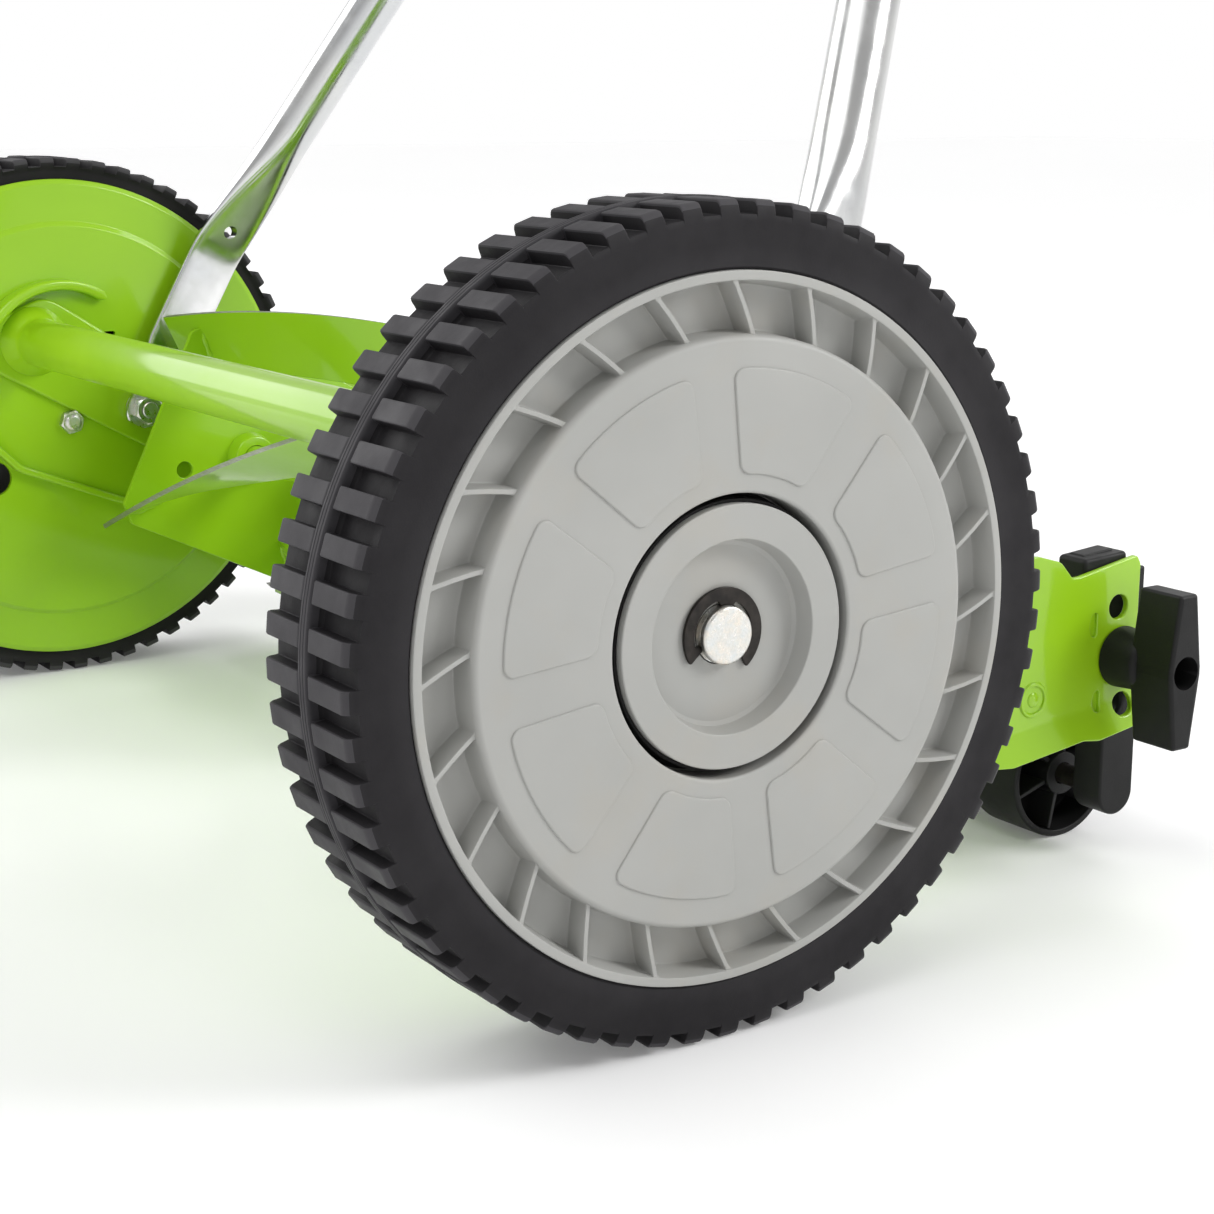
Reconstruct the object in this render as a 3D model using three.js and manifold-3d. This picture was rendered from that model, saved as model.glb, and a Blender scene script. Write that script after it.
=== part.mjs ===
// Push reel mower: two driven wheels, a four-blade reel, a bedknife, a rear roller and a folding T-handle.
// Units are millimetres. +Z is up, +Y points to the rear where the operator walks, +X is the operator's left.
// Inside the model the wheel axles lie on y = 0, z = 0. The finished group stands on z = 0.
import * as THREE from 'three';
import Module from 'manifold-3d';
import { mergeVertices } from 'three/addons/utils/BufferGeometryUtils.js';

const wasm = await Module();
wasm.setup();

const { cos, sin, tan, PI } = Math;
const radians = THREE.MathUtils.degToRad;

// ---- Driving dimensions ----------------------------------------------------------------------

const GAP = 0.3;                  // clearance between touching pieces
const WHEEL_FACE_X = 299.4;       // rim's outer face, from the centre plane

const TYRE_R = 127;
const TYRE_FLOOR_R = 122.8;       // bottom of the gaps between lugs
const TYRE_BORE_R = 107.1;
const TREAD_OUTER_X = 298.3;
const TREAD_INNER_X = 250.9;
const WHEEL_SIDES = 32;           // facets of the wheel's round pieces, all in line
const LUG_COUNT = 60;
const LUG_SHARE = 0.49;           // part of each pitch that is lug
const LUG_FLARE = 1.06;           // lug's foot against its top

const RIM_R = 106.6;
const RIM_LIP_R = 103.8;
const RIM_FLOOR_R = 102.5;
const RIM_FLOOR_DEPTH = 9;
const RIM_INNER_X = 252.8;
const BARREL_R = 101.8;
const DISC_R = 87.4;
const DISC_PROUD = 0.8;
const DISC_HOLE_R = 42.8;
const WALL = 3;
const RIB_COUNT = 24;
const RIB_SLANT = 4.6;            // degrees from the rim end to the disc end
const RIB_THICK = 1.8;
const DISC_EDGE = 1.2;            // chamfer around the disc

const BOSS_R = 39.8;
const POCKET_R = 29.4;
const POCKET_DEPTH = 6.2;
const POCKET_DRAFT = 1.4;
const BOSS_FLANGE_R = 84;
const BOSS_FLANGE_DEPTH = 14;
const BOSS_BARREL_R = 16;
const SEAL_SINK = 4;              // of the seal below the rim's outer face

const AXLE_R = 8.9;
const AXLE_END_X = 297.4;
const CLIP_R = 14.4;
const CLIP_GROOVE_R = 7.4;
const CLIP_THICK = 1.2;
const CLIP_MOUTH = 46;            // degrees either side of the clip's opening
const CLIP_TILT = 261;            // degrees to the middle of the opening
const AXLE_COLLAR_R = 14;
const AXLE_THREAD_R = 6;
const AXLE_NUT_R = 8.4;

const PLATE_INNER_X = 243.6;      // side plate's face towards the reel
const PLATE_THICK = 2.5;
const PLATE_FLAT_R = 94;
const PLATE_R = 116.5;
const PLATE_RIM_X = 250.2;
const PLATE_OUTER_X = PLATE_INNER_X + PLATE_THICK;

const TIE_Y = -17;
const TIE_Z = 40.4;
const TIE_R = 11.5;
const TIE_FLARE_R = 18;

const GEAR_MODULE = 4;
const RING_TEETH = 48;
const PINION_TEETH = 8;
const GEAR_CENTRES = GEAR_MODULE * (RING_TEETH - PINION_TEETH) / 2;
const GEAR_MID_X = 265;
const PINION_WIDTH = 13;
const PINION_ROOT_R = 12.9;
const PINION_TIP_R = 18.4;
const PINION_BORE_R = 7.6;
const PINION_SHARES = [0.56, 0.2];          // of the pitch, at a tooth's root and tip
const RING_WIDTH = 15;
const RING_ROOT_R = 99.1;
const RING_TIP_R = 93.4;
const RING_SHARES = [0.54, 0.26];           // of the pitch, at a gap's wide and narrow ends
const KEY = { thick: 3, tall: 14, wide: 8 };

const REEL_ANGLE = radians(-13.7);          // of the reel's axis, seen from the wheel's
const REEL_Y = GEAR_CENTRES * cos(REEL_ANGLE);
const REEL_Z = GEAR_CENTRES * sin(REEL_ANGLE);
const REEL_R = 76;
const BLADE_COUNT = 4;
const BLADE_WIDTH = 30;
const BLADE_THICK = 3;
const BLADE_END_X = 227;
const BLADE_TWIST = radians(-0.258);        // per millimetre towards +X
const BLADE_PHASE = radians(205);           // of the first blade at its right-hand end
const SPIDER_X = 205.6;
const SPIDER_R = 69;
const SPIDER_THICK = 3;
const SPIDER_HOLE = { r: 4, reach: 35, lag: radians(13) };
const SHAFT_R = 6;
const SHAFT_END_X = 277;
const BEARING_R = 14;
const BEARING_PROUD = 3;

const BEDKNIFE_TOP_Z = -92.7;
const BEDKNIFE_THICK = 2.5;
const BEDKNIFE_FRONT_Y = 100.5;
const BEDKNIFE_REAR_Y = 130;
const CARRIER_END_X = 240.4;
const CARRIER_PIVOT_Y = 156;
const CARRIER_PIVOT_Z = -52;
const CARRIER_EYE_R = 8;
const CARRIER_HOLE_R = 4.4;
const PIVOT_R = 4;

const BRACKET_INNER_X = 240.8;
const BRACKET_THICK = 2.5;
const BRACKET_OUTER_X = BRACKET_INNER_X + BRACKET_THICK;
const CLAMP_Y = 222;
const CLAMP_Z = -48;
const CLAMP_PITCH = 18.8;         // between the bracket's three height holes
const CLAMP_LEAN = 1.8;           // of the row of holes, for each pitch
const CLAMP_HOLE_R = 4.7;
const CLAMP_BOLT_R = 3.9;

const SLIDER_OUTER_X = 240.3;
const SLIDER_THICK = 14.3;
const SLIDER_INNER_X = SLIDER_OUTER_X - SLIDER_THICK;
const SLIDER_FRONT_Y = 214.2;
const SLIDER_REAR_Y = 236.8;
const SLIDER_STEP_Z = -74;        // where the slider narrows to its strap
const STRAP_FRONT_Y = 218.3;
const STRAP_REAR_Y = 235.9;
const STRAP_END_Z = -111.7;
const HEAD_FRONT_Y = 204.8;
const HEAD_REAR_Y = 226.8;
const HEAD_TOP_Z = -8.9;
const HEAD_THICK = 14;
const BLIND_WALL = 3;             // left outside the slider's blind axle hole

const ROLLER_Y = 225;
const ROLLER_R = 25.5;
const ROLLER_Z = ROLLER_R - TYRE_R;
const ROLLER_END_X = 214.5;
const ROLLER_AXLE_R = 4;
const ROLLER_WALL = 2.6;
const ROLLER_HUB_R = 9;

const KNOB_LENGTH = 60;
const KNOB_BAR_DEPTH = 20.3;
const KNOB_FACE_X = 275.7;
const KNOB_HALF_MIDDLE = 8;
const KNOB_HALF_END = 4.4;
const KNOB_BOSS_R = 11.6;
const KNOB_RECESS_R = 6.2;

const HANDLE_Y = 35.6;            // handle's pivot
const HANDLE_Z = 4.5;
const HANDLE_ANGLE = radians(61); // above the horizontal
const HANDLE_LEAN = radians(20);  // of each lower tube towards the centre plane
const STRIP_X = 235.6;
const STRIP_HALF_WIDTH = 13;
const STRIP_HALF_THICK = 1.9;
const HANDLE_BOLT_R = 4.2;
const HANDLE_HOLE_R = 4.7;
const TUBE_R = 11;
const TUBE_BORE_R = 9.5;
const BEND_REACH = 86;            // from the pivot to the bend, along the handle
const LOWER_TOP_X = 36;
const UPPER_X = 12.5;
const FOLD_REACH = 668;
const GRIP_REACH = 1000;
const GRIP_END_X = 232;
const GRIP_BEND_R = 40;
const GRIP_START_X = 72;
const GRIP_R = 15.5;
const FOLD_BOLT_R = 4;
const FOLD_HOLE_R = 4.4;
const FOLD_BOLT_END_X = 62;
const OVERLAP_REACH = 22;         // of each tube past the fold bolt

// ---- Helpers ---------------------------------------------------------------------------------

function cleaned(geometry) {
  const bare = geometry.clone();
  bare.deleteAttribute('normal');
  bare.deleteAttribute('uv');
  const merged = mergeVertices(bare, 1e-4);
  const index = merged.index.array;
  const position = merged.attributes.position;
  const kept = [];
  const [a, b, c] = [new THREE.Vector3(), new THREE.Vector3(), new THREE.Vector3()];
  let volume = 0;
  for (let i = 0; i < index.length; i += 3) {
    const [p, q, r] = [index[i], index[i + 1], index[i + 2]];
    if (p === q || q === r || r === p) continue;
    a.fromBufferAttribute(position, p);
    b.fromBufferAttribute(position, q);
    c.fromBufferAttribute(position, r);
    volume += a.dot(b.cross(c));
    kept.push(p, q, r);
  }
  if (volume < 0) {
    for (let i = 0; i < kept.length; i += 3) [kept[i], kept[i + 1]] = [kept[i + 1], kept[i]];
  }
  merged.setIndex(kept);
  return merged;
}

function toSolid(geometry) {
  const ready = cleaned(geometry);
  return new wasm.Manifold(new wasm.Mesh({
    numProp: 3,
    vertProperties: new Float32Array(ready.attributes.position.array),
    triVerts: new Uint32Array(ready.index.array),
  }));
}

function fromSolid(solid) {
  const mesh = solid.getMesh();
  const geometry = new THREE.BufferGeometry();
  geometry.setAttribute('position', new THREE.BufferAttribute(new Float32Array(mesh.vertProperties), 3));
  geometry.setIndex(Array.from(mesh.triVerts));
  return geometry;
}

const cut = (body, ...tools) => fromSolid(tools.reduce((s, t) => s.subtract(toSolid(t)), toSolid(body)));
const join = (body, ...more) => fromSolid(more.reduce((s, t) => s.add(toSolid(t)), toSolid(body)));

// A ring or shaft about an axis along X, from [x, radius] points; it closes on itself or on the axis.
function turned(profile, segments, y = 0, z = 0) {
  const points = profile.map(([x, r]) => new THREE.Vector2(r, x));
  const closesOnAxis = profile[0][1] === 0 && profile.at(-1)[1] === 0;
  if (!closesOnAxis) points.push(points[0].clone());
  return new THREE.LatheGeometry(points, segments).rotateZ(-PI / 2).translate(0, y, z);
}

const rod = (r, x0, x1, y, z, segments = 12) =>
  turned([[x0, 0], [x0, r], [x1, r], [x1, 0]], segments, y, z);

// A flat piece: an outline of [y, z] points, with holes as outlines too, from x0 to x1.
function plate(outline, x0, x1, holes = []) {
  const toPoints = (list) => list.map(([y, z]) => new THREE.Vector2(y, z));
  const points = toPoints(outline);
  if (THREE.ShapeUtils.isClockWise(points)) points.reverse();
  const shape = new THREE.Shape(points);
  shape.holes = holes.map((hole) => new THREE.Path(toPoints(hole)));
  const toX = new THREE.Matrix4().makeBasis(
    new THREE.Vector3(0, 1, 0), new THREE.Vector3(0, 0, 1), new THREE.Vector3(1, 0, 0));
  const geometry = new THREE.ExtrudeGeometry(shape, { depth: x1 - x0, bevelEnabled: false });
  return geometry.applyMatrix4(toX).translate(x0, 0, 0);
}

const circle = (r, y = 0, z = 0, count = 16) =>
  Array.from({ length: count }, (_, i) => [y + r * cos(2 * PI * i / count), z + r * sin(2 * PI * i / count)]);

const arc = (r, from, to, count, y = 0, z = 0) => Array.from({ length: count + 1 }, (_, i) => {
  const angle = radians(from + (to - from) * i / count);
  return [y + r * cos(angle), z + r * sin(angle)];
});

const hexagon = (r, y, z) => circle(r, y, z, 6);

// A closed tube through stations of {centre, across, up, halfAcross, halfUp}.
function lofted(stations, sides = 12) {
  const vertices = [];
  const index = [];
  for (const s of stations) {
    for (let i = 0; i < sides; i += 1) {
      const angle = 2 * PI * i / sides;
      const point = s.centre.clone()
        .addScaledVector(s.across, s.halfAcross * cos(angle))
        .addScaledVector(s.up, s.halfUp * sin(angle));
      vertices.push(point.x, point.y, point.z);
    }
  }
  for (let k = 0; k < stations.length - 1; k += 1) {
    for (let i = 0; i < sides; i += 1) {
      const [a, b] = [k * sides + i, k * sides + (i + 1) % sides];
      index.push(a, b, b + sides, a, b + sides, a + sides);
    }
  }
  const last = (stations.length - 1) * sides;
  for (let i = 1; i < sides - 1; i += 1) {
    index.push(0, i + 1, i);
    index.push(last, last + i, last + i + 1);
  }
  const geometry = new THREE.BufferGeometry();
  geometry.setAttribute('position', new THREE.Float32BufferAttribute(vertices, 3));
  geometry.setIndex(index);
  return geometry;
}

const trapezoidTeeth = (count, rootR, tipR, [rootShare, tipShare], phase) =>
  Array.from({ length: count }, (_, i) => i).flatMap((i) => {
    const mid = phase + 2 * PI * i / count;
    const [root, tip] = [rootShare * PI / count, tipShare * PI / count];
    return [[rootR, mid - root], [tipR, mid - tip], [tipR, mid + tip], [rootR, mid + root]]
      .map(([r, angle]) => [r * cos(angle), r * sin(angle)]);
  });

// ---- Materials -------------------------------------------------------------------------------

const material = (color, roughness, metalness) =>
  () => new THREE.MeshStandardMaterial({ color, roughness, metalness });
const greenCoat = material(0x8fc81e, 0.3, 0.1);
const greyPlastic = material(0xb6b7b1, 0.45, 0);
const blackPlastic = material(0x1e1f1e, 0.5, 0);
const blackRubber = material(0x2d2b2e, 0.8, 0);
const foam = material(0x242424, 0.95, 0);
const zincSteel = material(0xb9bcbd, 0.35, 0.9);
const chromeTube = material(0xd4d6d8, 0.15, 1);
const darkSteel = material(0x4a4b4d, 0.4, 0.8);
const gearPlastic = material(0x2f3133, 0.5, 0);
const groundSteel = material(0x9a9c98, 0.35, 0.9);

// ---- Wheels ----------------------------------------------------------------------------------

function tyre() {
  const lugTipR = TYRE_R / cos(LUG_SHARE * PI / LUG_COUNT);   // so that a lug's flat lies at the radius
  const shares = [LUG_SHARE * LUG_FLARE, LUG_SHARE];
  const outline = trapezoidTeeth(LUG_COUNT, TYRE_FLOOR_R, lugTipR, shares, -PI / 2);
  return plate(outline, TREAD_INNER_X, TREAD_OUTER_X, [circle(TYRE_BORE_R, 0, 0, WHEEL_SIDES)]);
}

function wheelRim() {
  const floorX = WHEEL_FACE_X - RIM_FLOOR_DEPTH;
  const faceX = WHEEL_FACE_X + DISC_PROUD;
  const section = [
    [WHEEL_FACE_X, RIM_R], [WHEEL_FACE_X, RIM_LIP_R], [floorX, RIM_FLOOR_R], [floorX, DISC_R + DISC_EDGE],
    [faceX - DISC_EDGE, DISC_R], [faceX, DISC_R - DISC_EDGE], [faceX, DISC_HOLE_R],
    [faceX - WALL, DISC_HOLE_R],
    [faceX - WALL, DISC_R - WALL], [floorX - WALL, DISC_R - WALL], [floorX - WALL, BARREL_R],
    [RIM_INNER_X, BARREL_R], [RIM_INNER_X, RIM_R],
  ];
  const pitch = 360 / RIB_COUNT;
  const half = RIB_THICK / 2 / DISC_R;
  const ribs = Array.from({ length: RIB_COUNT }, (_, i) => {
    const outer = radians(i * pitch);
    const inner = outer - radians(RIB_SLANT);
    const [innerR, outerR] = [DISC_R - 0.6, RIM_LIP_R + 0.8];
    const corners = [
      [innerR, inner - half], [outerR, outer - half], [outerR, outer + half], [innerR, inner + half],
    ];
    return plate(corners.map(([r, a]) => [r * cos(a), r * sin(a)]), floorX - 1, WHEEL_FACE_X - 0.4);
  });
  return join(turned(section, WHEEL_SIDES), ...ribs);
}

function hubBoss() {
  const ringX = WHEEL_FACE_X + 0.5;
  const pocketX = WHEEL_FACE_X - POCKET_DEPTH;
  const flangeX = WHEEL_FACE_X - BOSS_FLANGE_DEPTH;
  const bore = AXLE_R + GAP;
  return turned([
    [pocketX, bore], [pocketX, POCKET_R - POCKET_DRAFT], [ringX, POCKET_R], [ringX, BOSS_R],
    [flangeX, BOSS_R], [flangeX, BOSS_FLANGE_R], [flangeX - WALL, BOSS_FLANGE_R], [flangeX - WALL, BOSS_BARREL_R],
    [RIM_INNER_X, BOSS_BARREL_R], [RIM_INNER_X, bore],
  ], WHEEL_SIDES);
}

function hubSeal() {
  const backX = WHEEL_FACE_X - BOSS_FLANGE_DEPTH + GAP;
  const frontX = WHEEL_FACE_X - SEAL_SINK;
  return turned([[backX, BOSS_R + GAP], [frontX, BOSS_R + GAP], [frontX, DISC_HOLE_R - GAP],
    [backX, DISC_HOLE_R - GAP]], WHEEL_SIDES);
}

function ringGear() {
  const gapMiddle = REEL_ANGLE + PI / RING_TEETH;
  const teeth = trapezoidTeeth(RING_TEETH, RING_ROOT_R, RING_TIP_R, RING_SHARES, gapMiddle);
  const ends = [GEAR_MID_X - RING_WIDTH / 2, GEAR_MID_X + RING_WIDTH / 2];
  return plate(circle(BARREL_R - GAP, 0, 0, WHEEL_SIDES), ...ends, [teeth]);
}

function axle() {
  const clipX = WHEEL_FACE_X - POCKET_DEPTH + GAP;
  const shoulderX = PLATE_OUTER_X + GAP;
  return turned([
    [AXLE_END_X, 0], [AXLE_END_X, AXLE_R - 1], [AXLE_END_X - 1, AXLE_R],
    [clipX + CLIP_THICK + GAP, AXLE_R], [clipX + CLIP_THICK + GAP, CLIP_GROOVE_R],
    [clipX - 0.1, CLIP_GROOVE_R], [clipX - 0.1, AXLE_R],
    [shoulderX + 4, AXLE_R], [shoulderX + 4, AXLE_COLLAR_R], [shoulderX, AXLE_COLLAR_R],
    [shoulderX, AXLE_THREAD_R], [PLATE_INNER_X - 10, AXLE_THREAD_R], [PLATE_INNER_X - 10, 0],
  ], 16);
}

function axleClip() {
  const x0 = WHEEL_FACE_X - POCKET_DEPTH + GAP;
  const [start, end] = [CLIP_TILT + CLIP_MOUTH, CLIP_TILT + 360 - CLIP_MOUTH];
  const ring = [...arc(CLIP_R, start, end, 14), ...arc(CLIP_GROOVE_R + GAP, end - 8, start + 8, 10)];
  return plate(ring, x0, x0 + CLIP_THICK);
}

// ---- Frame -----------------------------------------------------------------------------------

function sidePlate() {
  const rimInnerX = PLATE_RIM_X - PLATE_THICK;
  const bore = AXLE_THREAD_R + GAP;
  const disc = turned([
    [PLATE_OUTER_X, bore], [PLATE_OUTER_X, PLATE_FLAT_R], [PLATE_RIM_X, PLATE_R - 3], [PLATE_RIM_X, PLATE_R],
    [rimInnerX, PLATE_R], [rimInnerX, PLATE_R - 2], [PLATE_INNER_X, PLATE_FLAT_R + 1], [PLATE_INNER_X, bore],
  ], 32);
  const through = [PLATE_INNER_X - 5, PLATE_OUTER_X + 5];
  return cut(
    disc,
    rod(BEARING_R + GAP, ...through, REEL_Y, REEL_Z, 20),
    rod(HANDLE_HOLE_R, ...through, HANDLE_Y, HANDLE_Z),
  );
}

function axleNut() {
  const bore = circle(AXLE_THREAD_R + GAP, 0, 0, 12);
  return plate(hexagon(AXLE_NUT_R, 0, 0), PLATE_INNER_X - 8, PLATE_INNER_X - GAP, [bore]);
}

function tieTube() {
  const end = PLATE_INNER_X - GAP;
  const half = [[end, TIE_FLARE_R], [end - 2, TIE_FLARE_R - 0.6], [end - 6, TIE_R + 2], [end - 14, TIE_R]];
  const mirrored = half.map(([x, r]) => [-x, r]).reverse();
  const bore = TIE_R - 2;
  return turned([[-end, bore], ...mirrored, ...half, [end, bore]], 16, TIE_Y, TIE_Z);
}

function heightBracket() {
  const outline = [
    [50, -2], [178.8, -5.7], [190, -9], [196, -15.6], [200, -15.6], [227.6, -10.8], [231, -14],
    [230.6, -75.5], [209.3, -78.8], [201.9, -77.8], [166.6, -82.3], [142, -80], [98, -46], [50, -36],
  ];
  const holes = [
    circle(BEARING_R + 1, REEL_Y, REEL_Z, 20),
    circle(PIVOT_R + 0.5, CARRIER_PIVOT_Y, CARRIER_PIVOT_Z, 12),
    ...[-1, 0, 1].map((k) =>
      circle(CLAMP_HOLE_R, CLAMP_Y - CLAMP_LEAN * k, CLAMP_Z + CLAMP_PITCH * k, 12)),
  ];
  return plate(outline, BRACKET_INNER_X, BRACKET_OUTER_X, holes);
}

// ---- Reel and gears --------------------------------------------------------------------------

function pinion() {
  const teeth = trapezoidTeeth(PINION_TEETH, PINION_ROOT_R, PINION_TIP_R, PINION_SHARES, 0);
  const turn = ([y, z]) => [
    REEL_Y + y * cos(REEL_ANGLE) - z * sin(REEL_ANGLE),
    REEL_Z + y * sin(REEL_ANGLE) + z * cos(REEL_ANGLE),
  ];
  const ends = [GEAR_MID_X - PINION_WIDTH / 2, GEAR_MID_X + PINION_WIDTH / 2];
  return plate(teeth.map(turn), ...ends, [circle(PINION_BORE_R, REEL_Y, REEL_Z, 16)]);
}

function pawlKey() {
  return new THREE.BoxGeometry(KEY.wide, KEY.thick, KEY.tall).translate(GEAR_MID_X, REEL_Y, REEL_Z);
}

function reelShaft() {
  const slot = new THREE.BoxGeometry(KEY.wide + 0.6, KEY.thick + 0.6, 4 * SHAFT_R);
  const slots = [-1, 1].map((side) => slot.clone().translate(side * GEAR_MID_X, REEL_Y, REEL_Z));
  return cut(rod(SHAFT_R, -SHAFT_END_X, SHAFT_END_X, REEL_Y, REEL_Z, 20), ...slots);
}

function reelBearing() {
  const [x0, x1] = [PLATE_INNER_X - BEARING_PROUD, PLATE_OUTER_X + BEARING_PROUD];
  const bore = SHAFT_R + GAP;
  return turned([[x0, bore], [x1, bore], [x1, BEARING_R], [x0, BEARING_R]], 20, REEL_Y, REEL_Z);
}

const bladeAngle = (blade, x) =>
  BLADE_PHASE - blade * 2 * PI / BLADE_COUNT + BLADE_TWIST * (x + BLADE_END_X);

// A twisted strip between two radii, its thickness across the radius.
function helicalStrip(blade, x0, x1, innerR, outerR, thick, steps) {
  const vertices = [];
  const index = [];
  for (let k = 0; k <= steps; k += 1) {
    const x = x0 + (x1 - x0) * k / steps;
    const angle = bladeAngle(blade, x);
    for (const [r, t] of [[innerR, -1], [outerR, -1], [outerR, 1], [innerR, 1]]) {
      const offset = t * thick / 2;
      const y = REEL_Y + r * cos(angle) - offset * sin(angle);
      const z = REEL_Z + r * sin(angle) + offset * cos(angle);
      vertices.push(x, y, z);
    }
  }
  for (let k = 0; k < steps; k += 1) {
    for (let i = 0; i < 4; i += 1) {
      const [a, b] = [4 * k + i, 4 * k + (i + 1) % 4];
      index.push(a, b, b + 4, a, b + 4, a + 4);
    }
  }
  const last = 4 * steps;
  index.push(0, 2, 1, 0, 3, 2, last, last + 1, last + 2, last, last + 2, last + 3);
  const geometry = new THREE.BufferGeometry();
  geometry.setAttribute('position', new THREE.Float32BufferAttribute(vertices, 3));
  geometry.setIndex(index);
  return geometry;
}

const blade = (number) =>
  helicalStrip(number, -BLADE_END_X, BLADE_END_X, REEL_R - BLADE_WIDTH, REEL_R, BLADE_THICK, 20);

function spider(x) {
  const corners = Array.from({ length: BLADE_COUNT }, (_, i) => bladeAngle(i, x));
  const outline = corners.map((a) => [REEL_Y + SPIDER_R * cos(a), REEL_Z + SPIDER_R * sin(a)]);
  const [x0, x1] = [x - SPIDER_THICK / 2, x + SPIDER_THICK / 2];
  const holes = [circle(SHAFT_R + GAP, REEL_Y, REEL_Z, 12)];
  for (const corner of [corners[0], corners[2]]) {
    const angle = corner - SPIDER_HOLE.lag;
    const [y, z] = [REEL_Y + SPIDER_HOLE.reach * cos(angle), REEL_Z + SPIDER_HOLE.reach * sin(angle)];
    holes.push(circle(SPIDER_HOLE.r, y, z, 8));
  }
  const slots = corners.map((_, i) =>
    helicalStrip(i, x0 - 1, x1 + 1, REEL_R - BLADE_WIDTH - 0.5, REEL_R + 5, BLADE_THICK + 0.8, 2));
  return cut(plate(outline, x0, x1, holes), ...slots);
}

// ---- Bedknife --------------------------------------------------------------------------------

function bedknife() {
  const top = BEDKNIFE_TOP_Z;
  const outline = [
    [BEDKNIFE_FRONT_Y, top], [BEDKNIFE_FRONT_Y + 2.5, top - BEDKNIFE_THICK],
    [BEDKNIFE_REAR_Y, top - BEDKNIFE_THICK], [BEDKNIFE_REAR_Y, top],
  ];
  return plate(outline, -CARRIER_END_X, CARRIER_END_X);
}

function bedknifeCarrier() {
  const seat = BEDKNIFE_TOP_Z - BEDKNIFE_THICK - GAP;
  const rear = BEDKNIFE_REAR_Y + 5;
  const eye = arc(CARRIER_EYE_R, 20, -110, 6, CARRIER_PIVOT_Y, CARRIER_PIVOT_Z);
  const eyeTop = arc(CARRIER_EYE_R, 160, 20, 5, CARRIER_PIVOT_Y, CARRIER_PIVOT_Z);
  const outline = [
    [BEDKNIFE_FRONT_Y + 5, seat], [rear - 1, seat], ...eyeTop, ...eye.slice(1), [rear + 2, seat - WALL],
    [BEDKNIFE_FRONT_Y + 5, seat - WALL],
  ];
  const hole = circle(CARRIER_HOLE_R, CARRIER_PIVOT_Y, CARRIER_PIVOT_Z, 12);
  return plate(outline, -CARRIER_END_X, CARRIER_END_X, [hole]);
}

function bedknifePivot() {
  return turned([
    [CARRIER_END_X - 30, 0], [CARRIER_END_X - 30, PIVOT_R], [BRACKET_OUTER_X + GAP, PIVOT_R],
    [BRACKET_OUTER_X + GAP, 7], [BRACKET_OUTER_X + 4, 6], [BRACKET_OUTER_X + 4, 0],
  ], 12, CARRIER_PIVOT_Y, CARRIER_PIVOT_Z);
}

// ---- Cutting height: sliders, roller and clamps ----------------------------------------------

function heightSlider() {
  const endY = (STRAP_FRONT_Y + STRAP_REAR_Y) / 2;
  const endR = (STRAP_REAR_Y - STRAP_FRONT_Y) / 2;
  const slotR = CLAMP_BOLT_R + 0.7;
  const slot = [
    ...arc(slotR, 0, 180, 6, CLAMP_Y, CLAMP_Z + CLAMP_PITCH),
    ...arc(slotR, 180, 360, 6, CLAMP_Y, CLAMP_Z - CLAMP_PITCH),
  ];
  const bar = plate([
    [SLIDER_FRONT_Y, -18], [SLIDER_FRONT_Y, SLIDER_STEP_Z], [STRAP_FRONT_Y, SLIDER_STEP_Z - 4],
    ...arc(endR, 180, 360, 10, endY, STRAP_END_Z + endR),
    [STRAP_REAR_Y, SLIDER_STEP_Z - 4], [SLIDER_REAR_Y, SLIDER_STEP_Z], [SLIDER_REAR_Y, -18],
  ], SLIDER_INNER_X, SLIDER_OUTER_X, [slot]);
  const head = plate([
    [HEAD_FRONT_Y, -20], [HEAD_REAR_Y, -20], [HEAD_REAR_Y, HEAD_TOP_Z - 1.6], [HEAD_REAR_Y - 1.5, HEAD_TOP_Z],
    [HEAD_FRONT_Y + 2, HEAD_TOP_Z - 1.1], [HEAD_FRONT_Y, HEAD_TOP_Z - 2.6],
  ], SLIDER_OUTER_X - HEAD_THICK, SLIDER_OUTER_X);
  const axleEnds = [SLIDER_INNER_X - 1, SLIDER_OUTER_X - BLIND_WALL];
  return cut(join(bar, head), rod(ROLLER_AXLE_R + GAP, ...axleEnds, ROLLER_Y, ROLLER_Z));
}

function roller() {
  const [end, bore] = [ROLLER_END_X, ROLLER_AXLE_R + GAP];
  const half = [
    [12, ROLLER_R - 4.9], [end - 31, ROLLER_R - 3.1], [end - 26, ROLLER_R], [end, ROLLER_R],
    [end, ROLLER_R - ROLLER_WALL], [end - 12, ROLLER_R - ROLLER_WALL],
    [end - 12, ROLLER_HUB_R], [end, ROLLER_HUB_R], [end, bore],
  ];
  const other = half.map(([x, r]) => [-x, r]).reverse();
  return turned([...other, ...half], 20, ROLLER_Y, ROLLER_Z);
}

function rollerAxle() {
  const end = SLIDER_OUTER_X - BLIND_WALL - GAP;
  return rod(ROLLER_AXLE_R, -end, end, ROLLER_Y, ROLLER_Z);
}

function clampBolt() {
  const head = plate(circle(9, CLAMP_Y, CLAMP_Z, 4), SLIDER_INNER_X - 4.6, SLIDER_INNER_X - GAP - 0.1);
  return join(head, rod(CLAMP_BOLT_R, SLIDER_INNER_X - 2, KNOB_FACE_X - 12, CLAMP_Y, CLAMP_Z));
}

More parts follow.
